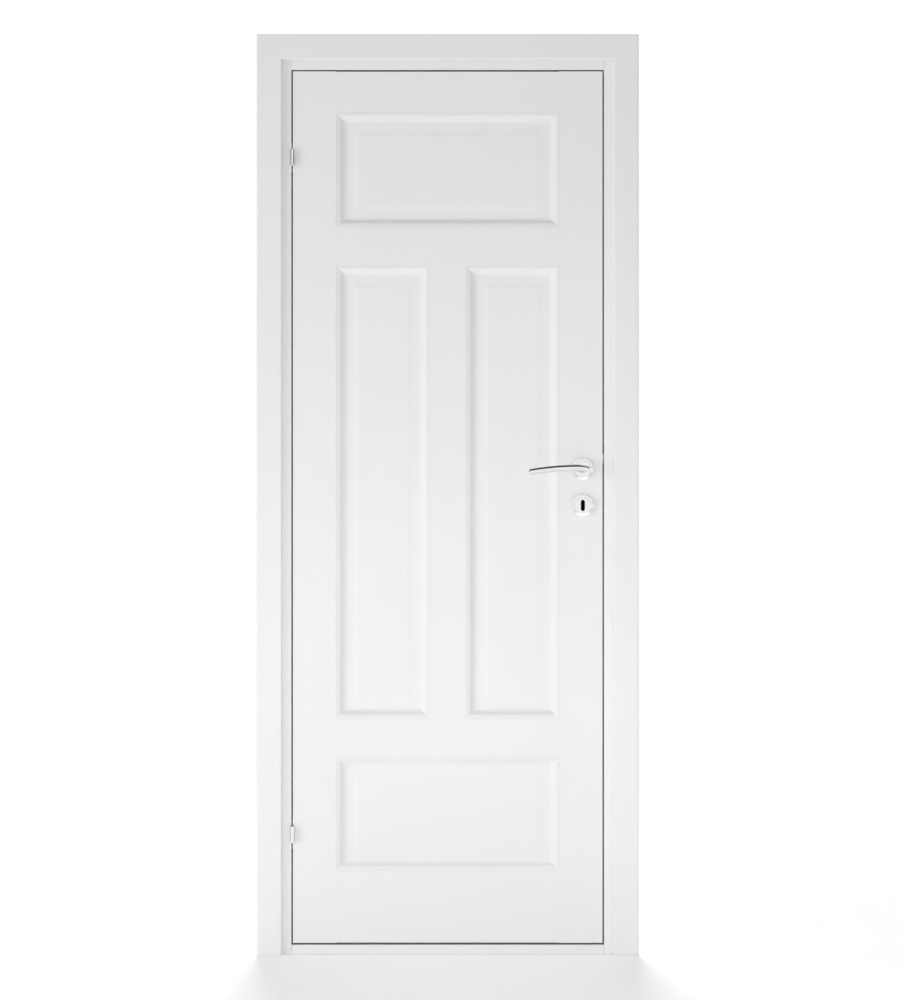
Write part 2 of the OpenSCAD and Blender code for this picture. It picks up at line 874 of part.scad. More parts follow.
// Tenon at the +X end of a rail, or with a gap its mortise
module rail_tenon(z0, z1, gap = 0) {
    length = tenon_l + over + (gap > 0 ? mortise_end : 0);
    translate([open_x - over, leaf_mid - tenon_t / 2 - gap, z0 + tenon_shoulder - gap])
        cube([length, tenon_t + 2 * gap, z1 - z0 - 2 * (tenon_shoulder - gap)]);
}

// Rail spans as [z0, z1]
top_rail_span = [top_z1, leaf_top - rail_setback];
frieze_rail_span = [mid_z1, top_z0];
lower_rail_span = [bottom_z1, mid_z0];
bottom_rail_span = [leaf_bottom + rail_setback, bottom_z0];
rail_spans = [top_rail_span, frieze_rail_span, lower_rail_span, bottom_rail_span];

// Waste that rounds both arrises of the leaf's lower edge at the given height, or of its upper edge
module edge_waste(z, upper) {
    translate([-leaf_x, leaf_mid, z]) along_x(2 * leaf_x) mirror([0, upper]) {
        translate([-leaf_t / 2, 0]) corner_waste(leaf_edge_r);
        translate([leaf_t / 2, 0]) mirror([1, 0]) corner_waste(leaf_edge_r);
    }
}

// Stile at +X with its outer arrises rounded and mortises cut
module stile_blank() {
    difference() {
        translate([0, 0, leaf_bottom]) linear_extrude(leaf_h) difference() {
            translate([open_x, leaf_front]) square([stile_w, leaf_t]);
            translate([leaf_x, leaf_front]) mirror([1, 0]) corner_waste(leaf_edge_r);
            translate([leaf_x, leaf_back]) rotate(180) corner_waste(leaf_edge_r);
        }
        edge_waste(leaf_bottom, 0);
        edge_waste(leaf_top, 1);
        for (r = rail_spans)
            rail_tenon(r[0], r[1], joint_gap);
    }
}

module hinge_stile() {
    color(paint) difference() {
        union() {
            mirror([1, 0, 0]) stile_blank();
            for (o = [top_opening, left_opening, bottom_opening])
                sticking_left(o);
        }
        for (z = hinge_zs) {
            translate([-leaf_x - over, leaf_front, z])
                along_x(plate_t + over) plate_outline(joint_gap, over);
            translate([-leaf_x, leaf_front, z]) hinge_screw_places() into_right()
                screw_body(hinge_screw_head_r, hinge_screw_r, hinge_screw_l, screw_gap);
        }
    }
}

module lock_stile() {
    color(paint) difference() {
        union() {
            stile_blank();
            for (o = [top_opening, right_opening, bottom_opening])
                sticking_right(o);
        }
        translate([case_x0 - pocket_gap, case_y0 - pocket_gap, case_z0 - pocket_gap])
            cube([case_x1 - case_x0, case_t, case_z1 - case_z0] + 2 * pocket_gap * [1, 1, 1]);
        translate([case_x1, leaf_mid, 0]) along_x(faceplate_t + over) faceplate_outline(joint_gap);
        faceplate_screw_places() screw_body(lock_screw_head_r, lock_screw_r, lock_screw_l, screw_gap);
        through_leaf(spindle_z) circle(stile_bore_r);
        through_leaf(key_z) obround(keyhole_w + 2 * slot_room, keyhole_h + 2 * slot_room);
        rose_bolt_holes();
    }
}

// Rail between the stiles, with a tenon at each end
module rail_blank(span) {
    translate([-open_x, leaf_front, span[0]]) cube([2 * open_x, leaf_t, span[1] - span[0]]);
    both_sides() rail_tenon(span[0], span[1]);
}

// Upper tenon of the muntin from a rail's lower edge, or with a gap its mortise
module muntin_tenon(gap = 0) {
    half = muntin_w / 2 - tenon_shoulder + gap;
    translate([-half, leaf_mid - tenon_t / 2 - gap, -over])
        cube([2 * half, tenon_t + 2 * gap, muntin_tenon_l + over + (gap > 0 ? mortise_end : 0)]);
}

module top_rail() {
    color(paint) {
        difference() {
            rail_blank(top_rail_span);
            edge_waste(top_rail_span[1], 1);
        }
        sticking_above(top_opening);
    }
}

module frieze_rail() {
    color(paint) {
        difference() {
            rail_blank(frieze_rail_span);
            translate([0, 0, mid_z1]) muntin_tenon(joint_gap);
        }
        sticking_below(top_opening);
        sticking_above(left_opening);
        sticking_above(right_opening);
    }
}

module lower_rail() {
    color(paint) {
        difference() {
            rail_blank(lower_rail_span);
            translate([0, 0, mid_z0]) mirror([0, 0, 1]) muntin_tenon(joint_gap);
        }
        sticking_below(left_opening);
        sticking_below(right_opening);
        sticking_above(bottom_opening);
    }
}

module bottom_rail() {
    color(paint) {
        difference() {
            rail_blank(bottom_rail_span);
            edge_waste(bottom_rail_span[0], 0);
        }
        sticking_below(bottom_opening);
    }
}

module muntin() {
    color(paint) {
        translate([-muntin_w / 2, leaf_front, mid_z0]) cube([muntin_w, leaf_t, mid_z1 - mid_z0]);
        translate([0, 0, mid_z1]) muntin_tenon();
        translate([0, 0, mid_z0]) mirror([0, 0, 1]) muntin_tenon();
        sticking_right(left_opening);
        sticking_left(right_opening);
    }
}

// Raised and fielded panel section across an opening of the given length: X across, Y thickness
module panel_section(length) {
    translate([tongue_inset, -tongue_t / 2]) square([length - 2 * tongue_inset, tongue_t]);
    difference() {
        translate([cove_foot, -field_t / 2]) square([length - 2 * cove_foot, field_t]);
        for (x = [cove_foot, length - cove_foot], s = [-1, 1])
            translate([x, s * (tongue_t / 2 + cove_r)]) circle(cove_r);
    }
}

// The sections across and along the opening meet in mitred coves
module panel(o) {
    color(paint) intersection() {
        translate([o[0], leaf_mid, o[2]]) linear_extrude(o[3] - o[2]) panel_section(o[1] - o[0]);
        translate([o[1], leaf_mid, o[2]]) rotate([0, -90, 0])
            linear_extrude(o[1] - o[0]) panel_section(o[3] - o[2]);
    }
}

module top_panel() {
    panel(top_opening);
}

module left_panel() {
    panel(left_opening);
}

module right_panel() {
    panel(right_opening);
}

module bottom_panel() {
    panel(bottom_opening);
}

// Mortise lock

// Extrudes a shape drawn in X from the spindle and Z from the given height right through the leaf
module through_leaf(z) {
    translate([spindle_x, leaf_mid, z]) rotate([90, 0, 0])
        linear_extrude(leaf_t + 2 * over, center = true) children();
}

// Extrudes a shape drawn in X and Z along Y, from y0 to y1
module along_y(y0, y1) {
    translate([0, y1, 0]) rotate([90, 0, 0]) linear_extrude(y1 - y0) children();
}

module rose_bolt_places() {
    for (z = [spindle_z, key_z], s = [-1, 1])
        translate([spindle_x + s * rose_bolt_spacing / 2, 0, z]) children();
}

module rose_bolt_holes() {
    rose_bolt_places() along_y(leaf_front - over, leaf_back + over) circle(rose_bolt_r + bolt_hole_gap);
}

module faceplate_outline(gap = 0) {
    translate([0, faceplate_mid]) obround(faceplate_w + 2 * gap, faceplate_z1 - faceplate_z0 + 2 * gap);
}

module faceplate_screw_places() {
    for (z = [faceplate_z0 + lock_screw_inset, faceplate_z1 - lock_screw_inset])
        translate([leaf_x, leaf_mid, z]) into_left() children();
}

module lock_faceplate() {
    color(zinc) difference() {
        translate([case_x1, leaf_mid, 0]) along_x(faceplate_t) difference() {
            faceplate_outline();
            latch_window(sliding_fit);
            bolt_window(sliding_fit);
        }
        faceplate_screw_places() screw_body(lock_screw_head_r, lock_screw_r, lock_screw_l, screw_gap);
    }
}

module faceplate_screws() {
    color(zinc) faceplate_screw_places() screw(lock_screw_head_r, lock_screw_r, lock_screw_l);
}

// Holes through both plates of the lock case
module case_holes() {
    through_leaf(spindle_z) circle(journal_r + running_fit);
    through_leaf(key_z) obround(keyhole_w, keyhole_h);
    rose_bolt_holes();
}

// Fixed pieces inside the case: latch guide, bolt post and seat of the detent
module case_fittings() {
    guide_half = tail_s / 2 + sliding_fit + guide_wall;
    along_y(case_y0 + case_wall - joint_gap, case_y1 - case_wall) {
        translate([guide_x, latch_z - guide_half]) square([guide_l, 2 * guide_half]);
        translate([post_x, post_z]) circle(post_r);
        translate([detent_x - detent_run, bolt_top + detent_rise + detent_t]) square(detent_block);
    }
}

module lock_case() {
    color(steel) difference() {
        union() {
            difference() {
                translate([case_x0, case_y0, case_z0])
                    cube([case_x1 - case_x0, case_t - case_wall, case_z1 - case_z0]);
                translate([case_x0 + case_wall, case_y0 + case_wall, case_z0 + case_wall])
                    cube([case_x1 - case_x0 - 2 * case_wall, case_t, case_z1 - case_z0 - 2 * case_wall]);
            }
            case_fittings();
        }
        case_holes();
        translate([case_x1 - case_wall - over, leaf_mid, 0]) along_x(case_wall + 2 * over) {
            latch_window(sliding_fit);
            bolt_window(sliding_fit);
        }
        translate([guide_x - over, leaf_mid, latch_z])
            along_x(guide_l + 2 * over) square(tail_s + 2 * sliding_fit, center = true);
    }
}

module lock_cover() {
    color(steel) difference() {
        translate([case_x0, case_y1 - case_wall, case_z0])
            cube([case_x1 - case_x0, case_wall, case_z1 - case_z0]);
        case_holes();
    }
}

module latch_bolt() {
    tip = leaf_x + latch_throw;
    half = latch_t / 2;
    color(zinc) {
        translate([0, leaf_mid, latch_z - latch_h / 2]) linear_extrude(latch_h)
            polygon([[latch_back_x, -half], [tip, -half], [tip, -half + latch_nose],
                [tip - latch_bevel_l, half], [latch_back_x, half]]);
        translate([tail_back_x, leaf_mid, latch_z])
            along_x(latch_back_x - tail_back_x + over) square(tail_s, center = true);
        along_y(leaf_mid - arm_t / 2, leaf_mid + arm_t / 2)
            translate([lug_x - lug_l, spindle_z + hub_r + lug_clear])
                square([lug_l, latch_z - spindle_z - hub_r - lug_clear]);
    }
}

// Coil round the latch's tail, between the guide and the back of the latch's head
spring_x0 = guide_x + guide_l + spring_wire_r + spring_seat;
spring_x1 = latch_back_x - spring_wire_r - spring_seat;
spring_rings = [for (i = [0:spring_turns * spring_steps])
    let (a = 360 * i / spring_steps)
    let (x = spring_x0 + (spring_x1 - spring_x0) * i / (spring_turns * spring_steps))
    [for (j = [0:spring_sides - 1])
        let (f = 360 * j / spring_sides)
        let (r = spring_r + spring_wire_r * cos(f))
        [x - spring_wire_r * sin(f), leaf_mid + r * cos(a), latch_z + r * sin(a)]]];

module latch_spring() {
    color(steel) polyhedron(ring_points(spring_rings), tube_faces(spring_rings, spring_sides), 4);
}

// V-shaped notch in the bolt's top edge
module detent_notch(x) {
    translate([x, bolt_top])
        polygon([
            [-notch_half, 0], [0, -detent_depth], [notch_half, 0],
            [notch_half, over], [-notch_half, over]
        ]);
}

module deadbolt() {
    color(zinc) along_y(leaf_mid - bolt_t / 2, leaf_mid + bolt_t / 2) difference() {
        translate([bolt_back, bolt_z - bolt_h / 2]) square([bolt_front - bolt_back, bolt_h]);
        translate([post_x - bolt_throw / 2, post_z])
            rotate(90) obround(2 * (post_r + sliding_fit), bolt_throw + 2 * (post_r + sliding_fit));
        translate([spindle_x - talon_w / 2, bolt_z - bolt_h / 2 - over]) square([talon_w, talon_h + over]);
        detent_notch(detent_x);
        detent_notch(detent_x - bolt_throw);
    }
}

// Strip spring that holds the deadbolt at either end of its travel
module bolt_detent() {
    z = bolt_top + detent_rise;
    dip = bolt_top - detent_depth + sliding_fit;
    line = [
        [detent_x - detent_run, z], [detent_x - detent_half, z],
        [detent_x, dip], [detent_x + detent_half, z]
    ];
    color(steel) along_y(leaf_mid - detent_w / 2, leaf_mid + detent_w / 2)
        polygon(concat(line, [for (i = [len(line) - 1:-1:0]) line[i] + [0, detent_t]]));
}

// Follower that the spindle turns: its arm draws back the latch
module follower() {
    color(zinc) difference() {
        union() {
            translate([spindle_x, leaf_mid, spindle_z]) rotate([90, 0, 0]) {
                cylinder(h = inner_t - 2 * sliding_fit, r = hub_r, center = true);
                cylinder(h = case_t, r = journal_r, center = true);
            }
            along_y(leaf_mid - arm_t / 2, leaf_mid + arm_t / 2) translate([spindle_x, spindle_z]) {
                translate([-arm_w / 2, 0]) square([arm_w, arm_l]);
                translate([0, arm_l]) circle(arm_w / 2);
            }
        }
        through_leaf(spindle_z) square(spindle_s + 2 * joint_gap, center = true);
    }
}

// Handles and roses

// Places a piece drawn on the front face, with Z outwards and Y up from the floor
module on_front() {
    translate([spindle_x, leaf_front, 0]) rotate([90, 0, 0]) children();
}

module on_rear() {
    translate([0, 2 * leaf_mid, 0]) mirror([0, 1, 0]) on_front() children();
}

// Rose cover: a bevelled cap with a rim down to the leaf
module rose_cap(hole_r) {
    inner_r = rose_r - rose_wall;
    inner_h = rose_h - rose_wall;
    inner_flat_r = rose_flat_r - rose_wall * tan(rose_bevel_turn / 2);
    inner_rim_h = rose_h - rose_bevel_h - rose_wall * tan((90 - rose_bevel_turn) / 2);
    rotate_extrude() polygon([
        [hole_r, rose_h], [rose_flat_r, rose_h], [rose_r, rose_h - rose_bevel_h], [rose_r, 0],
        [inner_r, 0], [inner_r, inner_rim_h], [inner_flat_r, inner_h], [hole_r, inner_h]
    ]);
}

module rose_cover() {
    color(polished) translate([0, spindle_z, 0]) rose_cap(neck_r + neck_gap);
}

module key_rose_cover() {
    color(polished) translate([0, key_z, 0]) difference() {
        rose_cap(0);
        linear_extrude(rose_h + over) obround(keyhole_w, keyhole_h);
    }
}

// Rose base under a cover, with the given hole; its bolt holes are blind in front and stepped at the rear
module rose_base(z, rear) {
    color(zinc) translate([0, z, 0]) difference() {
        cylinder(h = rose_base_h, r = rose_base_r);
        for (s = [-1, 1])
            translate([s * rose_bolt_spacing / 2, 0, 0]) {
                translate([0, 0, -over])
                    cylinder(h = over + rose_base_h - rose_bolt_floor, r = rose_bolt_r + screw_gap);
                if (rear)
                    translate([0, 0, rose_base_h - rose_bolt_head_h])
                        cylinder(h = rose_bolt_head_h + over, r = rose_bolt_head_r + screw_gap);
            }
        translate([0, 0, -over]) linear_extrude(rose_base_h + 2 * over) children();
    }
}

module rose_base_front() {
    on_front() rose_base(spindle_z, false) circle(neck_r + neck_gap);
}

module rose_base_rear() {
    on_rear() rose_base(spindle_z, true) circle(neck_r + neck_gap);
}

module rose_cover_front() {
    on_front() rose_cover();
}

module rose_cover_rear() {
    on_rear() rose_cover();
}

module key_rose_base_front() {
    on_front() rose_base(key_z, false) obround(keyhole_w, keyhole_h);
}

module key_rose_base_rear() {
    on_rear() rose_base(key_z, true) obround(keyhole_w, keyhole_h);
}

module key_rose_cover_front() {
    on_front() key_rose_cover();
}

module key_rose_cover_rear() {
    on_rear() key_rose_cover();
}

module rose_bolts() {
    head_y = leaf_back + rose_base_h - rose_bolt_head_h;
    color(zinc) rose_bolt_places() {
        along_y(leaf_front - rose_base_h + rose_bolt_floor, head_y + over) circle(rose_bolt_r);
        along_y(head_y, leaf_back + rose_base_h) circle(rose_bolt_head_r);
    }
}

module spindle() {
    color(steel) along_y(leaf_front - spindle_reach, leaf_back + spindle_reach)
        translate([spindle_x, spindle_z]) square(spindle_s, center = true);
}

// Lever: a round neck turns through a full elbow into a lens-shaped arm that sweeps down to its tip
sweep_end = asin((lever_reach - elbow_r - tip_round) / arm_sweep_r);

function mix(a, b, t) = a + (b - a) * t;
function ease(t) = t * t * (3 - 2 * t);
function slant_at(t) = tip_slant * pow(max(0, (t - 1 + slant_run) / slant_run), 2);

// Ring across the lever, where lens sharpens its upper and lower edges, and bend makes its outer side full
function lever_ring(centre, along, up, h, d, slant, lens, bend = 0) = [for (j = [0:arm_sides - 1])
    let (f = 360 * j / arm_sides)
    let (outer = sin(f) < 0 ? bend : 0)
    let (bulge = sign(sin(f)) * pow(abs(sin(f)), 1 + lens - elbow_full * outer))
    let (depth = d / 2 + elbow_swell * outer)
    centre + up * (h / 2 * cos(f)) + cross(along, up) * (depth * bulge) + along * (slant * cos(f))];

function elbow_ring(a) =
    let (t = ease(a / 90))
    let (bend = sin(2 * a) * cos(a) * cos(a))
    lever_ring([elbow_r * (cos(a) - 1), arm_raise * t, lever_out - elbow_r + elbow_r * sin(a)],
        [-sin(a), 0, cos(a)], [0, 1, 0], mix(neck_d, arm_h, t), mix(neck_d, arm_d, t), 0, arm_lens * t, bend);

function arm_ring(t, ahead = 0, size = 1) =
    let (b = sweep_end * t)
    let (along = [-cos(b), -sin(b), 0])
    let (drop = arm_sweep_r * (1 - cos(b)))
    lever_ring([-elbow_r - arm_sweep_r * sin(b), arm_raise - drop, lever_out] + along * ahead,
        along, [-sin(b), cos(b), 0], mix(arm_h, tip_h, t) * size, mix(arm_d, tip_d, t) * size,
        slant_at(t) * size, arm_lens);

lever_rings = concat(
    [lever_ring([0, 0, neck_start], [0, 0, 1], [0, 1, 0], neck_d, neck_d, 0, 0)],
    [for (i = [0:elbow_steps]) elbow_ring(90 * i / elbow_steps)],
    [for (i = [1:arm_steps]) arm_ring(i / arm_steps)],
    [for (i = [1:cap_steps]) let (c = 90 * i / (cap_steps + 1)) arm_ring(1, tip_round * sin(c), cos(c))]
);

module lever() {
    socket = spindle_s + 2 * joint_gap;
    color(polished) translate([0, spindle_z, 0]) difference() {
        polyhedron(ring_points(lever_rings), tube_faces(lever_rings, arm_sides), 4);
        translate([-socket / 2, -socket / 2, neck_start - over])
            cube([socket, socket, spindle_reach - neck_start + over + joint_gap]);
        translate([0, 0, grub_out]) rotate([90, 0, 0]) cylinder(h = neck_r + over, r = grub_r + screw_gap);
    }
}

module grub_screw() {
    translate([0, spindle_z - spindle_s / 2, grub_out]) rotate([90, 0, 0]) difference() {
        cylinder(h = grub_l, r = grub_r);
        translate([0, 0, grub_l - grub_socket]) cylinder(h = grub_socket + over, r = grub_key_r, $fn = 6);
    }
}

module front_lever() {
    on_front() lever();
}

module rear_lever() {
    on_rear() lever();
}

module lever_grub_screws() {
    color(steel) {
        on_front() grub_screw();
        on_rear() grub_screw();
    }
}

hinge_jamb();
strike_jamb();
head_jamb();
threshold();
frame_joint_screws();
rebate_seal();
architrave_left();
architrave_right();
architrave_head();
hinge_frame_plate_upper();
hinge_frame_plate_lower();
hinge_pin_upper();
hinge_pin_lower();
frame_hinge_screws();
strike_plate();
strike_screws();
hinge_stile();
lock_stile();
top_rail();
frieze_rail();
lower_rail();
bottom_rail();
muntin();
top_panel();
left_panel();
right_panel();
bottom_panel();
hinge_leaf_plate_upper();
hinge_leaf_plate_lower();
leaf_hinge_screws();
lock_case();
lock_cover();
lock_faceplate();
faceplate_screws();
latch_spring();
bolt_detent();
rose_base_front();
rose_base_rear();
rose_cover_front();
rose_cover_rear();
key_rose_base_front();
key_rose_base_rear();
key_rose_cover_front();
key_rose_cover_rear();
rose_bolts();
front_lever();
rear_lever();
spindle();
follower();
lever_grub_screws();
latch_bolt();
deadbolt();
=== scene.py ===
"""Looks of a white painted interior door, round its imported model: finishes, hardware, studio and camera."""
import logging
import math
from dataclasses import dataclass
from enum import Enum
from typing import ClassVar, Iterable, Optional, Sequence

import bmesh
import bpy
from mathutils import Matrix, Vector


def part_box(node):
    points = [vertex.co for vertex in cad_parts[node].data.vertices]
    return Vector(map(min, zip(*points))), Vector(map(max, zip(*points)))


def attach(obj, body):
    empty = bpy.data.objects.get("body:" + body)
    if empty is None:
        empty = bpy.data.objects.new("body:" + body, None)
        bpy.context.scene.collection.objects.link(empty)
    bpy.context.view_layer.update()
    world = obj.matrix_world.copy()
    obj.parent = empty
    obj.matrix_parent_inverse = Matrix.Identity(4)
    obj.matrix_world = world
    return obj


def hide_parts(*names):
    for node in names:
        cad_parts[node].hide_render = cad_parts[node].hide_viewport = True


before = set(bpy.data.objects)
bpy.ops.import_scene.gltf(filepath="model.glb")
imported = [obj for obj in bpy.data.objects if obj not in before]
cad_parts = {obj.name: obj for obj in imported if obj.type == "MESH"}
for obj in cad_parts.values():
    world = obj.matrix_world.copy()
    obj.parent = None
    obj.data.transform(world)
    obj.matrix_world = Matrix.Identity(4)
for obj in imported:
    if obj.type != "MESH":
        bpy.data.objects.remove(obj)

LOG = logging.getLogger("interior_door")
MM = 0.001
QUARTER_TURN = math.pi / 2
FLOOR = "studio_floor"
FRONT_FITTINGS = ("lever_front", "lever_rose_front", "keyhole_rose_front")

Point = tuple[float, float]
Span = tuple[float, float]
Place = tuple[float, float, float]
Colour = tuple[float, float, float]
Opaque = tuple[float, float, float, float]
Socket = bpy.types.NodeSocket

WHITE: Colour = (1.0, 1.0, 1.0)


class Body(Enum):
    """Moving bodies that new pieces ride on."""

    LEAF = "door_leaf"
    HANDLE = "handle"


class Slot(Enum):
    """Names of material slots, passed along with new pieces."""

    PAINT = "white_paint"
    CHROME = "polished_chrome"
    STEEL = "bright_steel"


class Face(Enum):
    """Face of the leaf that a fitting stands on, as the direction of Y that points out of it."""

    FRONT = -1
    REAR = 1


class Grain(Enum):
    """Way that the wood under the paint runs, as stretches of a noise along X, Y and Z."""

    UPRIGHT = (1.0, 1.0, 0.02)
    LEVEL = (0.02, 1.0, 1.0)


class Ray(Enum):
    """Kinds of ray that a material or the world can tell apart."""

    CAMERA = "Is Camera Ray"
    GLOSSY = "Is Glossy Ray"
    TRANSMISSION = "Is Transmission Ray"


class Operation(Enum):
    """Operations on two values of a node tree."""

    PRODUCT = "MULTIPLY"
    LARGER = "MAXIMUM"


class Link(Enum):
    """What a lamp's link does with the pieces that it names."""

    ONLY = "INCLUDE"
    ALL_BUT = "EXCLUDE"


@dataclass(frozen=True)
class Noise:
    """Noise in object coordinates.

    Attributes:
        size: Width of its spots, in metres.
        detail: Octaves of finer noise.
        stretch: Factor on its frequency along X, Y and Z.
    """

    size: float
    detail: float
    stretch: Place = (1.0, 1.0, 1.0)


def opaque(colour: Colour) -> Opaque:
    """Give a colour with full opacity, as colour sockets take it."""
    return (*colour, 1.0)


class Wiring:
    """Node tree, with the few operations that finishes and world need."""

    def __init__(self, tree: bpy.types.NodeTree) -> None:
        """Take hold of a node tree."""
        self.tree = tree

    def add(self, kind: str) -> bpy.types.Node:
        """Add a node, by the name of its type without the prefix that all types share."""
        return self.tree.nodes.new(f"ShaderNode{kind}")

    def feed(self, socket: Socket, source: Socket | float | Opaque) -> None:
        """Link a socket to another node, or set it to a fixed value.

        Args:
            socket: The socket that is fed.
            source: Output of another node, or the value.
        """
        if isinstance(source, Socket):
            self.tree.links.new(source, socket)
        else:
            socket.default_value = source

    def rise(self, source: Socket, span: Span, result: Span = (0.0, 1.0)) -> Socket:
        """Map a span of a value to another span.

        Args:
            source: The value.
            span: Start and end of the values that are mapped.
            result: What start and end are mapped to, and other values are kept within.

        Returns:
            The mapped value.
        """
        rise = self.add("MapRange")
        for name, value in zip(("From Min", "From Max", "To Min", "To Max"), (*span, *result)):
            rise.inputs[name].default_value = value
        self.feed(rise.inputs["Value"], source)
        return rise.outputs["Result"]

    def reckon(self, operation: Operation, first: Socket, second: Socket | float) -> Socket:
        """Work out an operation on two values.

        Args:
            operation: The operation.
            first: A value of the node tree.
            second: Another, or a fixed number.

        Returns:
            The result.
        """
        node = self.add("Math")
        node.operation = operation.value
        self.feed(node.inputs[0], first)
        self.feed(node.inputs[1], second)
        return node.outputs["Value"]

    def blend(self, share: Socket, first: Socket | Opaque, second: Socket | Opaque) -> Socket:
        """Mix two colours.

        Args:
            share: Share of the second colour.
            first: Colour at a share of 0.
            second: Colour at a share of 1.

        Returns:
            The mixed colour.
        """
        mix = self.add("Mix")
        mix.data_type = "RGBA"
        for name, source in (("Factor", share), ("A", first), ("B", second)):
            self.feed(mix.inputs[name], source)
        return mix.outputs["Result"]

    def ray(self, kind: Ray) -> Socket:
        """Give a value that is 1 for rays of a kind and 0 for all others."""
        return self.add("LightPath").outputs[kind.value]

    def seen(self) -> Socket:
        """Give a value that is 1 for rays by which the background is seen, straight or in metal."""
        metal = self.reckon(Operation.LARGER, self.ray(Ray.GLOSSY), self.ray(Ray.TRANSMISSION))
        return self.reckon(Operation.LARGER, self.ray(Ray.CAMERA), metal)


class Recipe(Wiring):
    """Material under construction, which is a Principled shader unless a finish adds to it.

    Attributes:
        usual_noise: Span that most of a noise's values lie in.
        gap_samples: Rays that feel for the sides of a gap.
    """

    usual_noise: ClassVar[Span] = (0.3, 0.7)
    gap_samples: ClassVar[int] = 8

    def __init__(self, name: str) -> None:
        """Start a material.

        Args:
            name: Name of the material.
        """
        self.material = bpy.data.materials.new(name)
        self.material.use_nodes = True
        super().__init__(self.material.node_tree)
        self.shader = self.tree.nodes["Principled BSDF"]
        self.place = self.add("TexCoord").outputs["Object"]

    def set(self, **values: object) -> None:
        """Set sockets of the shader that are the same all over, named with underscores for spaces."""
        for name, value in values.items():
            self.shader.inputs[name.replace("_", " ")].default_value = value

    def noise(self, noise: Noise) -> Socket:
        """Add a noise.

        Args:
            noise: Its size, detail and stretch.

        Returns:
            The noise's value.
        """
        mapping = self.add("Mapping")
        mapping.inputs["Scale"].default_value = noise.stretch
        texture = self.add("TexNoise")
        texture.inputs["Scale"].default_value = 1.0 / noise.size
        texture.inputs["Detail"].default_value = noise.detail
        self.feed(mapping.inputs["Vector"], self.place)
        self.feed(texture.inputs["Vector"], mapping.outputs["Vector"])
        return texture.outputs["Fac"]

    def mottle(self, noise: Noise, first: Colour, second: Colour) -> None:
        """Let the base colour vary between two colours by a noise."""
        share = self.rise(self.noise(noise), self.usual_noise)
        self.feed(self.shader.inputs["Base Color"], self.blend(share, opaque(first), opaque(second)))

    def roughen(self, noise: Noise, gloss: Span) -> None:
        """Let the roughness vary between two values by a noise."""
        self.feed(self.shader.inputs["Roughness"], self.rise(self.noise(noise), self.usual_noise, gloss))

    def paint_gap_shade(self, colour: Colour, reach: float, gap: Span) -> None:
        """Paint shade deep in gaps, where shade falls: darken the base colour and dull the sheen there.

        Args:
            colour: Colour of the painted shade in the depth of a gap.
            reach: Distance within which faces count as its sides.
            gap: Openness at which a place counts as deep in a gap, and as clear of it.
        """
        # Painted shade: where an ambient occlusion node finds the sides of a gap close, the base colour goes
        # to a dark grey and the sheen is dulled.
        openness = self.add("AmbientOcclusion")
        openness.samples = self.gap_samples
        openness.inputs["Distance"].default_value = reach
        clear = self.rise(openness.outputs["AO"], gap)
        base = self.shader.inputs["Base Color"]
        sheen = self.shader.inputs["Specular IOR Level"]
        self.feed(base, self.blend(clear, opaque(colour), base.links[0].from_socket))
        self.feed(sheen, self.reckon(Operation.PRODUCT, clear, sheen.default_value))

    def emboss(self, *layers: tuple[Noise, float]) -> None:
        """Add bump, one layer over the other.

        Args:
            layers: Pairs of a noise and its height in metres.
        """
        normal = None
        for noise, height in layers:
            bump = self.add("Bump")
            bump.inputs["Distance"].default_value = height
            self.feed(bump.inputs["Height"], self.noise(noise))
            if normal:
                self.feed(bump.inputs["Normal"], normal)
            normal = bump.outputs["Normal"]
        self.feed(self.shader.inputs["Normal"], normal)


@dataclass(frozen=True)
class SatinPaint:
    """Sprayed white satin paint over wood whose grain just shows."""

    name: str
    grain: Grain
    light: Colour = (0.872, 0.872, 0.875)
    shade: Colour = (0.852, 0.852, 0.857)
    drift: Noise = Noise(size=0.35, detail=3.0)
    # Painted shade: base colour deep in gaps, and the reach and openness that set where it is painted.
    gap_shade_colour: Colour = (0.4, 0.4, 0.4)
    gap_shade_reach: float = 25 * MM
    gap_shade_openness: Span = (0.1, 0.3)
    gloss: Span = (0.38, 0.5)
    gloss_drift: Noise = Noise(size=0.04, detail=4.0)
    peel: Noise = Noise(size=1.6 * MM, detail=1.0)
    peel_height: float = 0.012 * MM
    grain_size: float = 3.0 * MM
    grain_detail: float = 3.0
    grain_height: float = 0.02 * MM

    def material(self) -> bpy.types.Material:
        """Make the paint: orange peel, faint grain, slow drift of tone and gloss, and painted shade in the
        gaps.

        Returns:
            The material.
        """
        recipe = Recipe(self.name)
        recipe.mottle(self.drift, self.light, self.shade)
        # Painted shade deep in gaps.
        recipe.paint_gap_shade(self.gap_shade_colour, self.gap_shade_reach, self.gap_shade_openness)
        recipe.roughen(self.gloss_drift, self.gloss)
        grain = Noise(self.grain_size, self.grain_detail, self.grain.value)
        recipe.emboss((grain, self.grain_height), (self.peel, self.peel_height))
        return recipe.material


@dataclass(frozen=True)
class Metal:
    """Plated or drawn metal with a lay of fine scratches and cloudy gloss."""

    name: str
    light: Colour
    shade: Colour
    gloss: Span
    scratches: Noise
    scratch_height: float
    clouds: Noise = Noise(size=9 * MM, detail=3.0)
    gloss_clouds: Noise = Noise(size=14 * MM, detail=4.0)

    def material(self) -> bpy.types.Material:
        """Make the metal: cloudy tone and roughness, with scratches along its lay.

        Returns:
            The material.
        """
        recipe = Recipe(self.name)
        recipe.set(Metallic=1.0)
        recipe.mottle(self.clouds, self.light, self.shade)
        recipe.roughen(self.gloss_clouds, self.gloss)
        recipe.emboss((self.scratches, self.scratch_height))
        return recipe.material


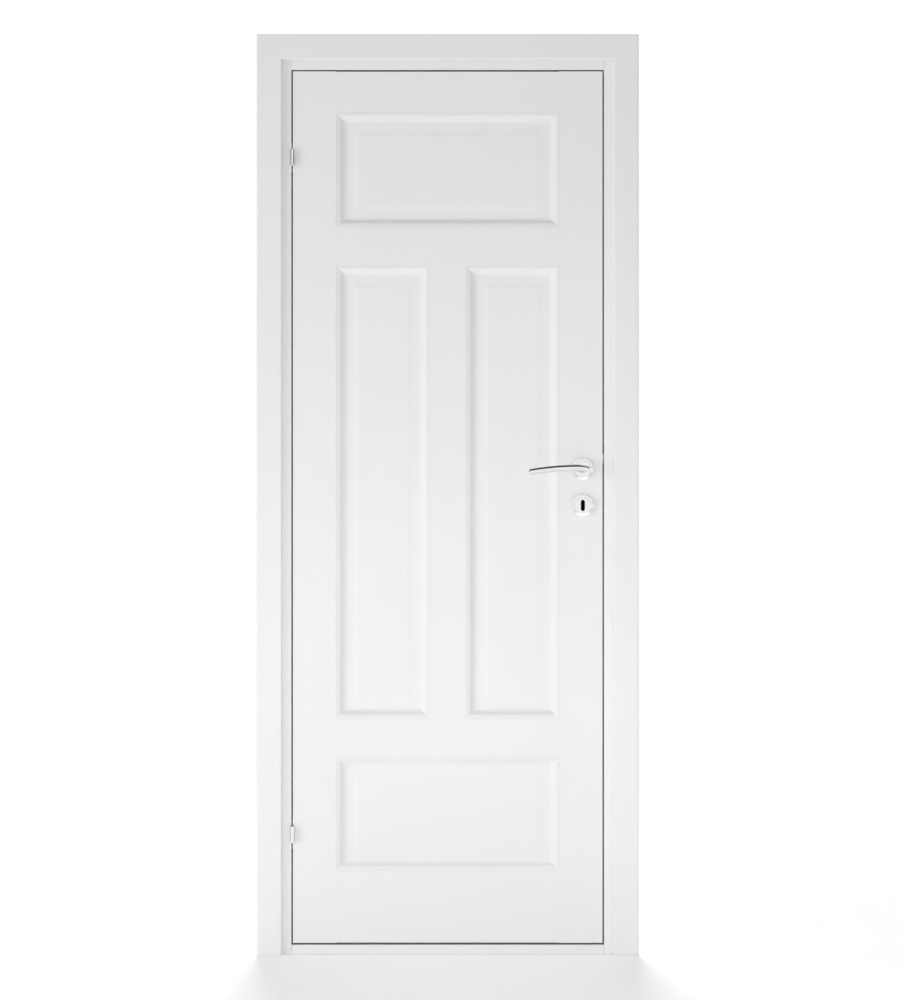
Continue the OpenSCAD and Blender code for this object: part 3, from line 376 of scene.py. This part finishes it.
@dataclass(frozen=True)
class Rubber:
    """Matt black extruded rubber, or any other dull black."""

    name: str
    light: Colour = (0.024, 0.024, 0.026)
    shade: Colour = (0.014, 0.014, 0.015)
    dust: Noise = Noise(size=6 * MM, detail=3.0)
    gloss: Span = (0.55, 0.75)
    gloss_dust: Noise = Noise(size=3 * MM, detail=2.0)
    stipple: Noise = Noise(size=0.3 * MM, detail=2.0)
    stipple_height: float = 0.02 * MM

    def material(self) -> bpy.types.Material:
        """Make the rubber: a dusty black with a fine stipple.

        Returns:
            The material.
        """
        recipe = Recipe(self.name)
        recipe.mottle(self.dust, self.light, self.shade)
        recipe.roughen(self.gloss_dust, self.gloss)
        recipe.emboss((self.stipple, self.stipple_height))
        return recipe.material


@dataclass(frozen=True)
class PaleFloor:
    """Matt pale floor, lifted towards white where it is seen, and white to the camera far from the door."""

    name: str
    colour: Colour = (0.9, 0.9, 0.905)
    roughness: float = 0.9
    lift: float = 0.22
    fade: Span = (1.3, 2.2)

    def material(self) -> bpy.types.Material:
        """Make the floor's finish: a matt shader with a little glow, which fades into plain white.

        Returns:
            The material.
        """
        recipe = Recipe(self.name)
        recipe.set(Base_Color=opaque(self.colour), Roughness=self.roughness, Specular_IOR_Level=0.0)
        glow = recipe.add("Emission")
        recipe.feed(glow.inputs["Strength"], recipe.reckon(Operation.PRODUCT, recipe.seen(), self.lift))
        lifted = recipe.add("AddShader")
        recipe.feed(lifted.inputs[0], recipe.shader.outputs["BSDF"])
        recipe.feed(lifted.inputs[1], glow.outputs["Emission"])
        distance = recipe.add("VectorMath")
        distance.operation = "LENGTH"
        recipe.feed(distance.inputs[0], recipe.place)
        away = recipe.rise(distance.outputs["Value"], self.fade)
        fade = recipe.add("MixShader")
        recipe.feed(fade.inputs["Fac"], recipe.reckon(Operation.PRODUCT, recipe.ray(Ray.CAMERA), away))
        recipe.feed(fade.inputs[1], lifted.outputs["Shader"])
        recipe.feed(fade.inputs[2], recipe.add("Emission").outputs["Emission"])
        recipe.feed(recipe.tree.nodes["Material Output"].inputs["Surface"], fade.outputs["Shader"])
        return recipe.material


class Finishes:
    """All finishes of the door, each made once."""

    def __init__(self) -> None:
        """Make the materials."""
        self.upright_paint = SatinPaint("paint_on_upright_grain", Grain.UPRIGHT).material()
        self.level_paint = SatinPaint("paint_on_level_grain", Grain.LEVEL).material()
        self.chrome = Metal(
            "polished_chrome_plate", light=(0.87, 0.87, 0.88), shade=(0.83, 0.83, 0.845), gloss=(0.05, 0.1),
            scratches=Noise(size=5.0 * MM, detail=2.0), scratch_height=0.002 * MM,
        ).material()
        self.zinc = Metal(
            "bright_zinc_plate", light=(0.76, 0.77, 0.79), shade=(0.68, 0.69, 0.72), gloss=(0.24, 0.36),
            scratches=Noise(size=0.5 * MM, detail=2.0, stretch=(1.0, 1.0, 0.05)), scratch_height=0.01 * MM,
        ).material()
        self.bright_zinc = Metal(
            "burnished_zinc_plate", light=(0.86, 0.86, 0.87), shade=(0.8, 0.8, 0.815), gloss=(0.12, 0.2),
            scratches=Noise(size=2.0 * MM, detail=2.0, stretch=(1.0, 1.0, 0.2)), scratch_height=0.004 * MM,
        ).material()
        self.steel = Metal(
            "drawn_bright_steel", light=(0.64, 0.64, 0.66), shade=(0.54, 0.54, 0.57), gloss=(0.2, 0.34),
            scratches=Noise(size=0.4 * MM, detail=2.0, stretch=(0.05, 1.0, 1.0)), scratch_height=0.008 * MM,
        ).material()
        self.rubber = Rubber("black_seal_rubber").material()
        # Painted shade: a near-black finish for the keyway's lining, which stands for the shade inside the
        # lock.
        self.keyway_shade = Rubber(
            "blackened_steel", light=(0.012, 0.012, 0.012), shade=(0.006, 0.006, 0.006),
        ).material()


class Shaper:
    """Mesh code that the pieces share."""

    side_split: ClassVar[float] = 2.01

    @staticmethod
    def round_corners(path: Sequence[Point], radius: float, steps: int = 4) -> list[Point]:
        """Round the inner corners of an open path.

        A rounding takes a little under half of a side, so that two roundings never meet.

        Args:
            path: Corner points.
            radius: Radius of the rounding, cut down where a side is short.
            steps: Pieces of each rounding.

        Returns:
            The points of the rounded path.
        """
        rounded = [path[0]]
        for before, corner, after in zip(path, path[1:], path[2:]):
            middle = Vector(corner)
            back, ahead = Vector(before) - middle, Vector(after) - middle
            turn = math.pi - back.angle(ahead)
            longest = min(back.length, ahead.length) / Shaper.side_split
            reach = min(radius * math.tan(turn / 2), longest)
            start = middle + back.normalized() * reach
            end = middle + ahead.normalized() * reach
            for i in range(steps + 1):
                t = i / steps
                rounded.append(tuple(start.lerp(middle, t).lerp(middle.lerp(end, t), t)))
        rounded.append(path[-1])
        return rounded

    @staticmethod
    def skin(name: str, rings: Sequence[Sequence[Vector]], capped: bool) -> bpy.types.Object:
        """Skin a row of closed rings with quads.

        Args:
            name: Name of the new object.
            rings: Rings with equal numbers of points.
            capped: Whether the first and last ring are closed by a face.

        Returns:
            The new object, linked to the scene.
        """
        shape = bmesh.new()
        rows = [[shape.verts.new(p) for p in ring] for ring in rings]
        for low, high in zip(rows, rows[1:]):
            for j, vertex in enumerate(low):
                k = (j + 1) % len(low)
                shape.faces.new((vertex, low[k], high[k], high[j]))
        if capped:
            shape.faces.new(reversed(rows[0]))
            shape.faces.new(rows[-1])
        bmesh.ops.recalc_face_normals(shape, faces=shape.faces)
        return Shaper.link(name, shape)

    @staticmethod
    def link(name: str, shape: bmesh.types.BMesh, crease: float = 40.0) -> bpy.types.Object:
        """Turn a mesh under construction into an object with smooth faces and sharp creases.

        Args:
            name: Name of the new object.
            shape: The mesh, which is freed.
            crease: Angle in degrees over which an edge stays sharp.

        Returns:
            The new object.
        """
        mesh = bpy.data.meshes.new(name)
        shape.to_mesh(mesh)
        shape.free()
        mesh.shade_smooth()
        mesh.set_sharp_from_angle(angle=math.radians(crease))
        piece = bpy.data.objects.new(name, mesh)
        bpy.context.scene.collection.objects.link(piece)
        return piece

    @staticmethod
    def place(
        piece: bpy.types.Object, body: Body, slot: Slot, finish: bpy.types.Material, *nodes: str
    ) -> None:
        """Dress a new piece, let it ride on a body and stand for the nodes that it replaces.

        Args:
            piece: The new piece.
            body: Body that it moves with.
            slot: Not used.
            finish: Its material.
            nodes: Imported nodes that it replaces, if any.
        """
        piece.data.materials.append(finish)
        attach(piece, body.value)
        if nodes:
            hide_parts(*nodes)
        LOG.info("%s rides on %s", piece.name, body.value)

    @staticmethod
    def dress(nodes: Iterable[str], finish: bpy.types.Material) -> None:
        """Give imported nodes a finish.

        Args:
            nodes: Names of the nodes.
            finish: Their new material.
        """
        for node in nodes:
            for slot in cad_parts[node].material_slots:
                slot.material = finish
            LOG.info("%s wears %s", node, finish.name)


@dataclass
class Lining:
    """Frame round the leaf: jambs, head, threshold, architraves and the rubber seal."""

    uprights: tuple[str, ...] = ("hinge_jamb", "strike_jamb", "architrave_left", "architrave_right")
    levels: tuple[str, ...] = ("head_jamb", "threshold", "architrave_head")
    seals: tuple[str, ...] = ("rebate_seal",)
    fasteners: tuple[str, ...] = ("frame_joint_screws",)

    def build(self, finishes: Finishes) -> None:
        """Dress the frame's nodes.

        Args:
            finishes: The door's finishes.
        """
        Shaper.dress(self.uprights, finishes.upright_paint)
        Shaper.dress(self.levels, finishes.level_paint)
        Shaper.dress(self.seals, finishes.rubber)
        Shaper.dress(self.fasteners, finishes.zinc)


@dataclass
class Leaf:
    """Stiles, rails, muntin and raised panels of the leaf.

    The joint between a rail and the lock stile is a ridge in the paint: a slope of the joint's width and
    height, and a steep back. It ends at the moulding of the panels and just short of the leaf's top.
    """

    uprights: tuple[str, ...] = ("hinge_stile", "lock_stile", "muntin", "left_panel", "right_panel")
    levels: tuple[str, ...] = (
        "top_rail", "frieze_rail", "lower_rail", "bottom_rail", "top_panel", "bottom_panel",
    )
    topmost: str = "top_rail"
    jointed: tuple[str, ...] = ("top_rail", "frieze_rail")
    joint_x: float = 260.5 * MM
    joint_width: float = 1.4 * MM
    joint_height: float = 0.8 * MM
    joint_back: float = 0.028 * MM
    joint_end: float = 2 * MM
    moulding: float = 22 * MM

    def build(self, finishes: Finishes) -> None:
        """Dress the leaf's nodes and draw the joints that show through the paint.

        Args:
            finishes: The door's finishes.
        """
        Shaper.dress(self.uprights, finishes.upright_paint)
        Shaper.dress(self.levels, finishes.level_paint)
        for rail in self.jointed:
            self.draw_joint(rail, finishes)

    def draw_joint(self, rail: str, finishes: Finishes) -> None:
        """Draw the line where a rail meets the lock stile, as a ridge of paint on the front.

        Args:
            rail: Node of the rail.
            finishes: The door's finishes.
        """
        low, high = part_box(rail)
        bottom = low.z + self.moulding
        top = high.z - (self.joint_end if rail == self.topmost else self.moulding)
        section = ((-self.joint_width, 0.0), (0.0, -self.joint_height), (self.joint_back, 0.0))
        rings = [[Vector((self.joint_x + x, low.y + y, z)) for x, y in section] for z in (bottom, top)]
        ridge = Shaper.skin(f"{rail}_joint_line", rings, capped=True)
        Shaper.place(ridge, Body.LEAF, Slot.PAINT, finishes.upright_paint)


@dataclass
class Hinges:
    """Two lift-off hinges with their screws."""

    plates: tuple[str, ...] = (
        "hinge_frame_plate_upper", "hinge_frame_plate_lower",
        "hinge_leaf_plate_upper", "hinge_leaf_plate_lower",
    )
    pins: tuple[str, ...] = ("hinge_pin_upper", "hinge_pin_lower")
    screws: tuple[str, ...] = ("frame_hinge_screws", "leaf_hinge_screws")

    def build(self, finishes: Finishes) -> None:
        """Dress the hinges' nodes.

        Args:
            finishes: The door's finishes.
        """
        Shaper.dress(self.plates, finishes.bright_zinc)
        Shaper.dress(self.screws, finishes.zinc)
        Shaper.dress(self.pins, finishes.steel)


@dataclass
class MortiseLock:
    """Lock in the leaf's edge, with its strike plate and a lining of its keyway whose near-black colour is
    painted shade of the lock's dark inside.

    The curtain that closes the keyway is dished. Its rings are given as shares of the keyway's size.
    """

    plated: tuple[str, ...] = (
        "lock_faceplate", "faceplate_screws", "strike_plate", "strike_screws",
        "follower", "latch_bolt", "deadbolt",
    )
    steel: tuple[str, ...] = ("lock_case", "lock_cover", "latch_spring", "bolt_detent")
    keyway_width: float = 9.3 * MM
    keyway_height: float = 25.8 * MM
    lip_depth: float = 0.6 * MM
    curtain_dish: float = 1.5 * MM
    curtain_shares: tuple[float, ...] = (0.7, 0.35, 0.05)
    sides: int = 96

    def build(self, finishes: Finishes) -> None:
        """Dress the lock's nodes and line the keyway.

        Args:
            finishes: The door's finishes.
        """
        Shaper.dress(self.plated, finishes.zinc)
        Shaper.dress(self.steel, finishes.steel)
        for face in Face:
            self.line_keyway(face, finishes)

    def line_keyway(self, face: Face, finishes: Finishes) -> None:
        """Line one half of the keyway, down to the curtain in the middle of the lock, with a near-black sheet
        that is painted shade.

        Args:
            face: Face of the leaf that the half opens to.
            finishes: The door's finishes.
        """
        low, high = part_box(f"key_rose_cover_{face.name.lower()}")
        case_low, case_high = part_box("lock_case")
        mouth = (low.y + self.lip_depth) if face is Face.FRONT else (high.y - self.lip_depth)
        dish = face.value * self.curtain_dish
        floor = (case_low.y + case_high.y) / 2 + dish / 2
        centre = Vector(((low.x + high.x) / 2, 0.0, (low.z + high.z) / 2))
        stations = [(1.0, mouth), (1.0, floor)]
        stations += [(share, floor + dish * (1 - share * share)) for share in self.curtain_shares]
        rings = []
        for share, y in stations:
            outline = KeyRose.obround(self.keyway_width * share, self.keyway_height * share, self.sides)
            rings.append([centre + Vector((x, y, z)) for x, z in outline])
        liner = Shaper.skin(f"keyway_liner_{face.name.lower()}", rings, capped=False)
        # Painted shade: the lining is near black, as the lock's inside is dark.
        Shaper.place(liner, Body.LEAF, Slot.STEEL, finishes.keyway_shade)


@dataclass
class Lever:
    """Lever of the handle: a round neck, a full elbow and a lens-shaped arm that sweeps down to its tip.

    It is worked out in X, up and out from the spindle's axis on the leaf's face. The rounded tip ends a
    part of a step early, at a small flat.
    """

    up: ClassVar[Vector] = Vector((0.0, 1.0, 0.0))
    outward: ClassVar[Vector] = Vector((0.0, 0.0, 1.0))

    face: Face
    axis: Vector
    neck: float = 17.5 * MM
    start: float = 2 * MM
    out: float = 46.9 * MM
    reach: float = 128 * MM
    elbow_radius: float = 15 * MM
    elbow_swell: float = 14 * MM
    elbow_full: float = 0.6
    arm_height: float = 17 * MM
    arm_depth: float = 11 * MM
    arm_raise: float = 1.75 * MM
    tip_height: float = 14.5 * MM
    tip_depth: float = 9 * MM
    tip_round: float = 5 * MM
    tip_slant: float = 0.5 * MM
    slant_run: float = 0.25
    sweep_radius: float = 650 * MM
    lens: float = 0.8
    sides: int = 64
    elbow_steps: int = 24
    arm_steps: int = 40
    tip_steps: int = 8
    tip_early: float = 0.5

    def ring(
        self, centre: Vector, along: Vector, up: Vector, size: Point,
        slant: float = 0.0, lens: float = 0.0, bend: float = 0.0,
    ) -> list[Vector]:
        """Place one ring across the lever.

        Args:
            centre: Middle of the ring.
            along: Direction of the lever there.
            up: Direction of the ring's height.
            size: Height and depth of the ring.
            slant: Shift of the ring's top along the lever.
            lens: How much its upper and lower edges are sharpened.
            bend: How full its outer side is, from 0 to 1.

        Returns:
            The ring's points in the door's frame.
        """
        inward = along.cross(up)
        points = []
        for j in range(self.sides):
            turn = 2 * math.pi * j / self.sides
            outer = bend if math.sin(turn) < 0 else 0.0
            sharpness = 1 + lens - self.elbow_full * outer
            bulge = math.copysign(abs(math.sin(turn)) ** sharpness, math.sin(turn))
            depth = size[1] / 2 + self.elbow_swell * outer
            point = centre + up * (size[0] / 2 * math.cos(turn)) + inward * (depth * bulge)
            point += along * (slant * math.cos(turn))
            points.append(self.axis + Vector((point.x, self.face.value * point.z, point.y)))
        return points

    def elbow_ring(self, turn: float) -> list[Vector]:
        """Place a ring of the elbow, where the neck's round section goes smoothly over into the arm's lens.

        Args:
            turn: Angle that the elbow has turned through, in radians.

        Returns:
            The ring's points.
        """
        share = turn / QUARTER_TURN
        t = share * share * (3 - 2 * share)
        rest = self.out - self.elbow_radius
        centre = Vector((
            self.elbow_radius * (math.cos(turn) - 1),
            self.arm_raise * t,
            rest + self.elbow_radius * math.sin(turn),
        ))
        size = (self.neck + (self.arm_height - self.neck) * t, self.neck + (self.arm_depth - self.neck) * t)
        bend = max(0.0, math.sin(2 * turn)) * math.cos(turn) ** 2
        along = Vector((-math.sin(turn), 0.0, math.cos(turn)))
        return self.ring(centre, along, self.up, size, lens=self.lens * t, bend=bend)

    def arm_ring(self, t: float, ahead: float = 0.0, scale: float = 1.0) -> list[Vector]:
        """Place a ring of the arm.

        Args:
            t: Share of the way from elbow to tip.
            ahead: Distance past that place, for the rounded tip.
            scale: Size of the ring, for the rounded tip.

        Returns:
            The ring's points.
        """
        sweep = math.asin((self.reach - self.elbow_radius - self.tip_round) / self.sweep_radius) * t
        along = Vector((-math.cos(sweep), -math.sin(sweep), 0.0))
        up = Vector((-math.sin(sweep), math.cos(sweep), 0.0))
        centre = Vector((
            -self.elbow_radius - self.sweep_radius * math.sin(sweep),
            self.arm_raise + self.sweep_radius * (math.cos(sweep) - 1),
            self.out,
        ))
        height = self.arm_height + (self.tip_height - self.arm_height) * t
        depth = self.arm_depth + (self.tip_depth - self.arm_depth) * t
        slant = self.tip_slant * max(0.0, (t - 1 + self.slant_run) / self.slant_run) ** 2
        size = (height * scale, depth * scale)
        return self.ring(centre + along * ahead, along, up, size, slant * scale, self.lens)

    def build(self, name: str, node: str, finishes: Finishes) -> None:
        """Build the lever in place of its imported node.

        Args:
            name: Name of the new piece.
            node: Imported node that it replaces.
            finishes: The door's finishes.
        """
        rings = [self.ring(self.outward * self.start, self.outward, self.up, (self.neck, self.neck))]
        rings += [self.elbow_ring(QUARTER_TURN * i / self.elbow_steps) for i in range(self.elbow_steps + 1)]
        rings += [self.arm_ring(i / self.arm_steps) for i in range(1, self.arm_steps + 1)]
        for i in range(1, self.tip_steps + 1):
            turn = QUARTER_TURN * i / (self.tip_steps + self.tip_early)
            rings.append(self.arm_ring(1.0, self.tip_round * math.sin(turn), math.cos(turn)))
        piece = Shaper.skin(name, rings, capped=True)
        Shaper.place(piece, Body.HANDLE, Slot.CHROME, finishes.chrome, node)


@dataclass
class Rose:
    """Round cover plate under a lever, with a turned ring inside its bevelled rim.

    A ring of points at the share brace of the bevel's width keeps the bevel's shading flat up to the rim.
    """

    face: Face
    centre: Vector
    radius: float = 25 * MM
    height: float = 9 * MM
    bevel_width: float = 6 * MM
    bevel_drop: float = 2 * MM
    lip: float = 0.25 * MM
    lip_run: float = 0.75 * MM
    ring_width: float = 1.0 * MM
    ring_depth: float = 0.35 * MM
    ring_run: float = 2.0 * MM
    rim: float = 0.3 * MM
    brace: float = 0.94
    hole: float = 9.15 * MM
    sides: int = 96

    def inner_outline(self) -> list[Point]:
        """Give the outline of the hole."""
        turns = [2 * math.pi * j / self.sides for j in range(self.sides)]
        return [(self.hole * math.sin(t), self.hole * math.cos(t)) for t in turns]

    @staticmethod
    def grown(outline: Sequence[Point], width: float) -> list[Point]:
        """Give an outline that is wider all round than that of the hole."""
        reaches = [math.hypot(x, z) for x, z in outline]
        return [(x + width * x / reach, z + width * z / reach) for (x, z), reach in zip(outline, reaches)]

    @staticmethod
    def outer_ring(radius: float, inner: Sequence[Point]) -> list[Point]:
        """Give a circle whose points lie in the same directions as those of the hole's outline."""
        return [(radius * x / math.hypot(x, z), radius * z / math.hypot(x, z)) for x, z in inner]

    def lip_profile(self) -> list[Point]:
        """Give the hole's wall and its rounded edge, as distances from the wall and heights."""
        return Shaper.round_corners([(0.0, 0.0), (0.0, self.height), (self.lip_run, self.height)], self.lip)

    def face_profile(self) -> list[Point]:
        """Work out the turned ring, the bevel and the rim.

        Returns:
            Radii and heights, from the flat face out to the rim's foot.
        """
        flat = self.radius - self.bevel_width
        fall = self.bevel_drop / self.bevel_width
        half = self.ring_width / 2
        ring = [
            (flat - self.ring_run, self.height),
            (flat - half, self.height),
            (flat, self.height - self.ring_depth),
            (flat + half, self.height - fall * half),
            (flat + self.ring_run, self.height - fall * self.ring_run),
        ]
        rim = [ring[-1], (self.radius, self.height - self.bevel_drop), (self.radius, 0.0)]
        edge = Shaper.round_corners(rim, self.rim)[1:]
        brace = tuple(Vector(ring[-1]).lerp(Vector(edge[0]), self.brace))
        return [*Shaper.round_corners(ring, self.lip), brace, *edge]

    def build(self, name: str, node: str, finishes: Finishes) -> None:
        """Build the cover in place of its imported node, as rings from the hole's wall out to the rim.

        Args:
            name: Name of the new piece.
            node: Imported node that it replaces.
            finishes: The door's finishes.
        """
        inner = self.inner_outline()
        outlines = [(self.grown(inner, width), out) for width, out in self.lip_profile()]
        outlines += [(self.outer_ring(radius, inner), out) for radius, out in self.face_profile()]
        rings = []
        for outline, out in outlines:
            rings.append([self.centre + Vector((x, self.face.value * out, z)) for x, z in outline])
        piece = Shaper.skin(name, rings, capped=False)
        Shaper.place(piece, Body.LEAF, Slot.CHROME, finishes.chrome, node)


@dataclass
class KeyRose(Rose):
    """Round cover plate with a keyhole."""

    slot_width: float = 9.5 * MM
    slot_height: float = 26 * MM

    @staticmethod
    def obround(width: float, height: float, sides: int) -> list[Point]:
        """Give the outline of a slot with round ends.

        Args:
            width: Width of the slot.
            height: Height over its round ends.
            sides: Number of points, spaced by equal angles from the middle.

        Returns:
            Points from the top, clockwise as seen from the front.
        """
        radius = width / 2
        straight = height / 2 - radius
        points = []
        for j in range(sides):
            x, z = math.sin(2 * math.pi * j / sides), math.cos(2 * math.pi * j / sides)
            reach = abs(z) * straight + math.sqrt(max(0.0, (z * straight) ** 2 - straight ** 2 + radius ** 2))
            if abs(z) * radius <= straight * abs(x):
                reach = radius / abs(x)
            points.append((reach * x, reach * z))
        return points

    def inner_outline(self) -> list[Point]:
        """Give the outline of the keyhole."""
        return self.obround(self.slot_width, self.slot_height, self.sides)


@dataclass
class Handles:
    """Levers, roses and what holds them, on both faces of the leaf."""

    bases: tuple[str, ...] = (
        "rose_base_front", "rose_base_rear", "key_rose_base_front", "key_rose_base_rear",
    )
    bolts: tuple[str, ...] = ("rose_bolts",)
    steel: tuple[str, ...] = ("spindle", "lever_grub_screws")

    @staticmethod
    def seat(node: str, face: Face) -> Vector:
        """Find the point on the leaf's face under a rose's middle.

        Args:
            node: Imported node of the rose's cover.
            face: Face of the leaf that it stands on.

        Returns:
            The point.
        """
        low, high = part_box(node)
        y = high.y if face is Face.FRONT else low.y
        return Vector(((low.x + high.x) / 2, y, (low.z + high.z) / 2))

    def build(self, finishes: Finishes) -> None:
        """Build levers and roses, and dress the pieces that stay.

        Args:
            finishes: The door's finishes.
        """
        Shaper.dress(self.bases + self.bolts, finishes.zinc)
        Shaper.dress(self.steel, finishes.steel)
        for face in Face:
            side = face.name.lower()
            spindle = self.seat(f"rose_cover_{side}", face)
            key = self.seat(f"key_rose_cover_{side}", face)
            Rose(face, spindle).build(f"lever_rose_{side}", f"rose_cover_{side}", finishes)
            KeyRose(face, key).build(f"keyhole_rose_{side}", f"key_rose_cover_{side}", finishes)
            Lever(face, spindle).build(f"lever_{side}", f"{side}_lever", finishes)


@dataclass(frozen=True)
class SoftLamp:
    """Large soft lamp that metal doesn't mirror.

    Attributes:
        name: Name of the lamp.
        place: Where it hangs.
        aim: Point that it shines at.
        size: Its width and height.
        power: Power in watts.
        shadowless: Pieces that cast no shadow from it.
        floor: Whether it lights only the floor or all but the floor; without a link it lights both.
    """

    name: str
    place: Place
    aim: Place
    size: Point
    power: float
    shadowless: tuple[str, ...] = ()
    floor: Optional[Link] = None

    def gather(self, use: str, pieces: Sequence[str], link: Link) -> bpy.types.Collection:
        """Gather pieces for a light link.

        Args:
            use: What the link is for, as a part of its name.
            pieces: Names of the pieces.
            link: Whether the link takes in or leaves out these pieces.

        Returns:
            The new collection.
        """
        group = bpy.data.collections.new(f"{self.name}_{use}")
        for piece in pieces:
            group.objects.link(bpy.data.objects[piece])
        for entry in group.collection_objects:
            entry.light_linking.link_state = link.value
        return group

    def hang(self) -> None:
        """Hang the lamp and link it to what it lights and what casts its shadows."""
        light = bpy.data.lights.new(self.name, "AREA")
        light.shape = "RECTANGLE"
        light.size, light.size_y = self.size
        light.energy = self.power
        lamp = bpy.data.objects.new(self.name, light)
        lamp.location = self.place
        lamp.rotation_euler = (Vector(self.aim) - Vector(self.place)).to_track_quat("-Z", "Y").to_euler()
        lamp.visible_glossy = False
        bpy.context.scene.collection.objects.link(lamp)
        links = lamp.light_linking
        if self.shadowless:
            links.blocker_collection = self.gather("spares", self.shadowless, Link.ALL_BUT)
        if self.floor:
            links.receiver_collection = self.gather("floor", (FLOOR,), self.floor)
        LOG.info("%s hangs in the studio", self.name)


@dataclass
class Studio:
    """Floor, lights and camera.

    The world lights matt paint with the ambient strength, and is seen at a strength that makes it white.
    Metal sees a dark ceiling and dark walls in it. Each is a span of the view's direction, in X for the
    walls and in Z for the ceiling and the foot of the right wall, over which white goes over into dark.
    """

    camera_place: Place = (0.0054, -4.045, 1.0626)
    lens: float = 61.55
    sensor: float = 36.0
    floor_near: Point = (-4.0, -5.0)
    floor_far: Point = (4.0, 2.4)
    floor_level: float = -0.5 * MM
    ambient: float = 0.43
    sky_tone: Colour = (0.9, 0.91, 0.935)
    sky: Span = (0.0, 1.0)
    seen_strength: float = 1.0
    dark_tone: Colour = (0.05, 0.05, 0.053)
    ceiling: Span = (0.62, 0.67)
    left_wall: Span = (-0.65, -0.8)
    right_wall: Span = (0.62, 0.75)
    wall_foot: Span = (0.05, 0.12)
    lamps: tuple[SoftLamp, ...] = (
        SoftLamp(
            "low_front_light", place=(0.1, -1.9, 0.45), aim=(0.1, 0.0, 0.6), size=(2.4, 0.6), power=14.0,
            shadowless=FRONT_FITTINGS,
        ),
        SoftLamp(
            "left_front_light", place=(-5.86, -3.25, 0.9), aim=(0.0, 0.0, 0.9), size=(3.0, 3.0), power=145.0,
        ),
        SoftLamp(
            "high_front_light", place=(0.2, -1.6, 3.4), aim=(0.2, 0.0, 1.4), size=(2.4, 1.0), power=5.0,
            floor=Link.ALL_BUT,
        ),
        SoftLamp(
            "rear_light", place=(0.6, 4.2, 1.6), aim=(0.0, 0.0, 1.0), size=(3.0, 2.0), power=75.0,
            floor=Link.ALL_BUT,
        ),
        SoftLamp(
            "floor_light", place=(-0.4, 8.0, 5.5), aim=(0.0, 0.0, 0.0), size=(4.0, 1.6), power=650.0,
            floor=Link.ONLY,
        ),
    )

    def build(self) -> None:
        """Set up the studio and the colour management."""
        self.lay_floor()
        self.light_world()
        for lamp in self.lamps:
            lamp.hang()
        self.set_camera()
        bpy.context.scene.view_settings.view_transform = "Standard"

    def lay_floor(self) -> None:
        """Lay the floor just under the threshold."""
        (x0, y0), (x1, y1) = self.floor_near, self.floor_far
        outline = ((x0, y0), (x1, y0), (x1, y1), (x0, y1))
        shape = bmesh.new()
        shape.faces.new([shape.verts.new((x, y, self.floor_level)) for x, y in outline])
        floor = Shaper.link(FLOOR, shape)
        floor.data.materials.append(PaleFloor("pale_floor").material())
        LOG.info("%s is laid", FLOOR)

    def light_world(self) -> None:
        """Make the world white to the eye, partly dark to metal, and soft light to matt paint."""
        world = bpy.data.worlds.new("studio")
        bpy.context.scene.world = world
        world.use_nodes = True
        wiring = Wiring(world.node_tree)
        view = wiring.add("SeparateXYZ")
        wiring.feed(view.inputs["Vector"], wiring.add("TexCoord").outputs["Generated"])
        across, up = view.outputs["X"], view.outputs["Z"]
        left = wiring.rise(across, self.left_wall)
        right = wiring.rise(across, self.right_wall)
        right = wiring.reckon(Operation.PRODUCT, right, wiring.rise(up, self.wall_foot))
        walls = wiring.reckon(Operation.LARGER, left, right)
        room = wiring.reckon(Operation.LARGER, walls, wiring.rise(up, self.ceiling))
        dark = wiring.reckon(Operation.PRODUCT, room, wiring.ray(Ray.GLOSSY))
        sky = wiring.rise(up, self.sky)
        choice = wiring.add("MixShader")
        wiring.feed(choice.inputs["Fac"], wiring.seen())
        wiring.feed(choice.inputs[1], self.backdrop(wiring, sky, self.sky_tone, self.ambient))
        wiring.feed(choice.inputs[2], self.backdrop(wiring, dark, self.dark_tone, self.seen_strength))
        wiring.feed(wiring.tree.nodes["World Output"].inputs["Surface"], choice.outputs["Shader"])

    @staticmethod
    def backdrop(wiring: Wiring, share: Socket, tone: Colour, strength: float) -> Socket:
        """Add a background that goes from white to a tone.

        Args:
            wiring: Node tree of the world.
            share: Share of the tone.
            tone: The tone.
            strength: Strength of its light.

        Returns:
            The background's shader.
        """
        background = wiring.add("Background")
        background.inputs["Strength"].default_value = strength
        wiring.feed(background.inputs["Color"], wiring.blend(share, opaque(WHITE), opaque(tone)))
        return background.outputs["Background"]

    def set_camera(self) -> None:
        """Stand the level camera in front of the door."""
        data = bpy.data.cameras.new("camera")
        data.sensor_fit = "VERTICAL"
        data.sensor_height = self.sensor
        data.lens = self.lens
        camera = bpy.data.objects.new("camera", data)
        camera.location = self.camera_place
        camera.rotation_euler = (QUARTER_TURN, 0.0, 0.0)
        bpy.context.scene.collection.objects.link(camera)
        bpy.context.scene.camera = camera


def main() -> None:
    """Build the door's looks in order."""
    logging.basicConfig(level=logging.INFO, format="%(name)s: %(message)s")
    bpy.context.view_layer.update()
    finishes = Finishes()
    for assembly in (Lining(), Leaf(), Hinges(), MortiseLock(), Handles()):
        assembly.build(finishes)
    Studio().build()


if __name__ == "__main__":
    main()
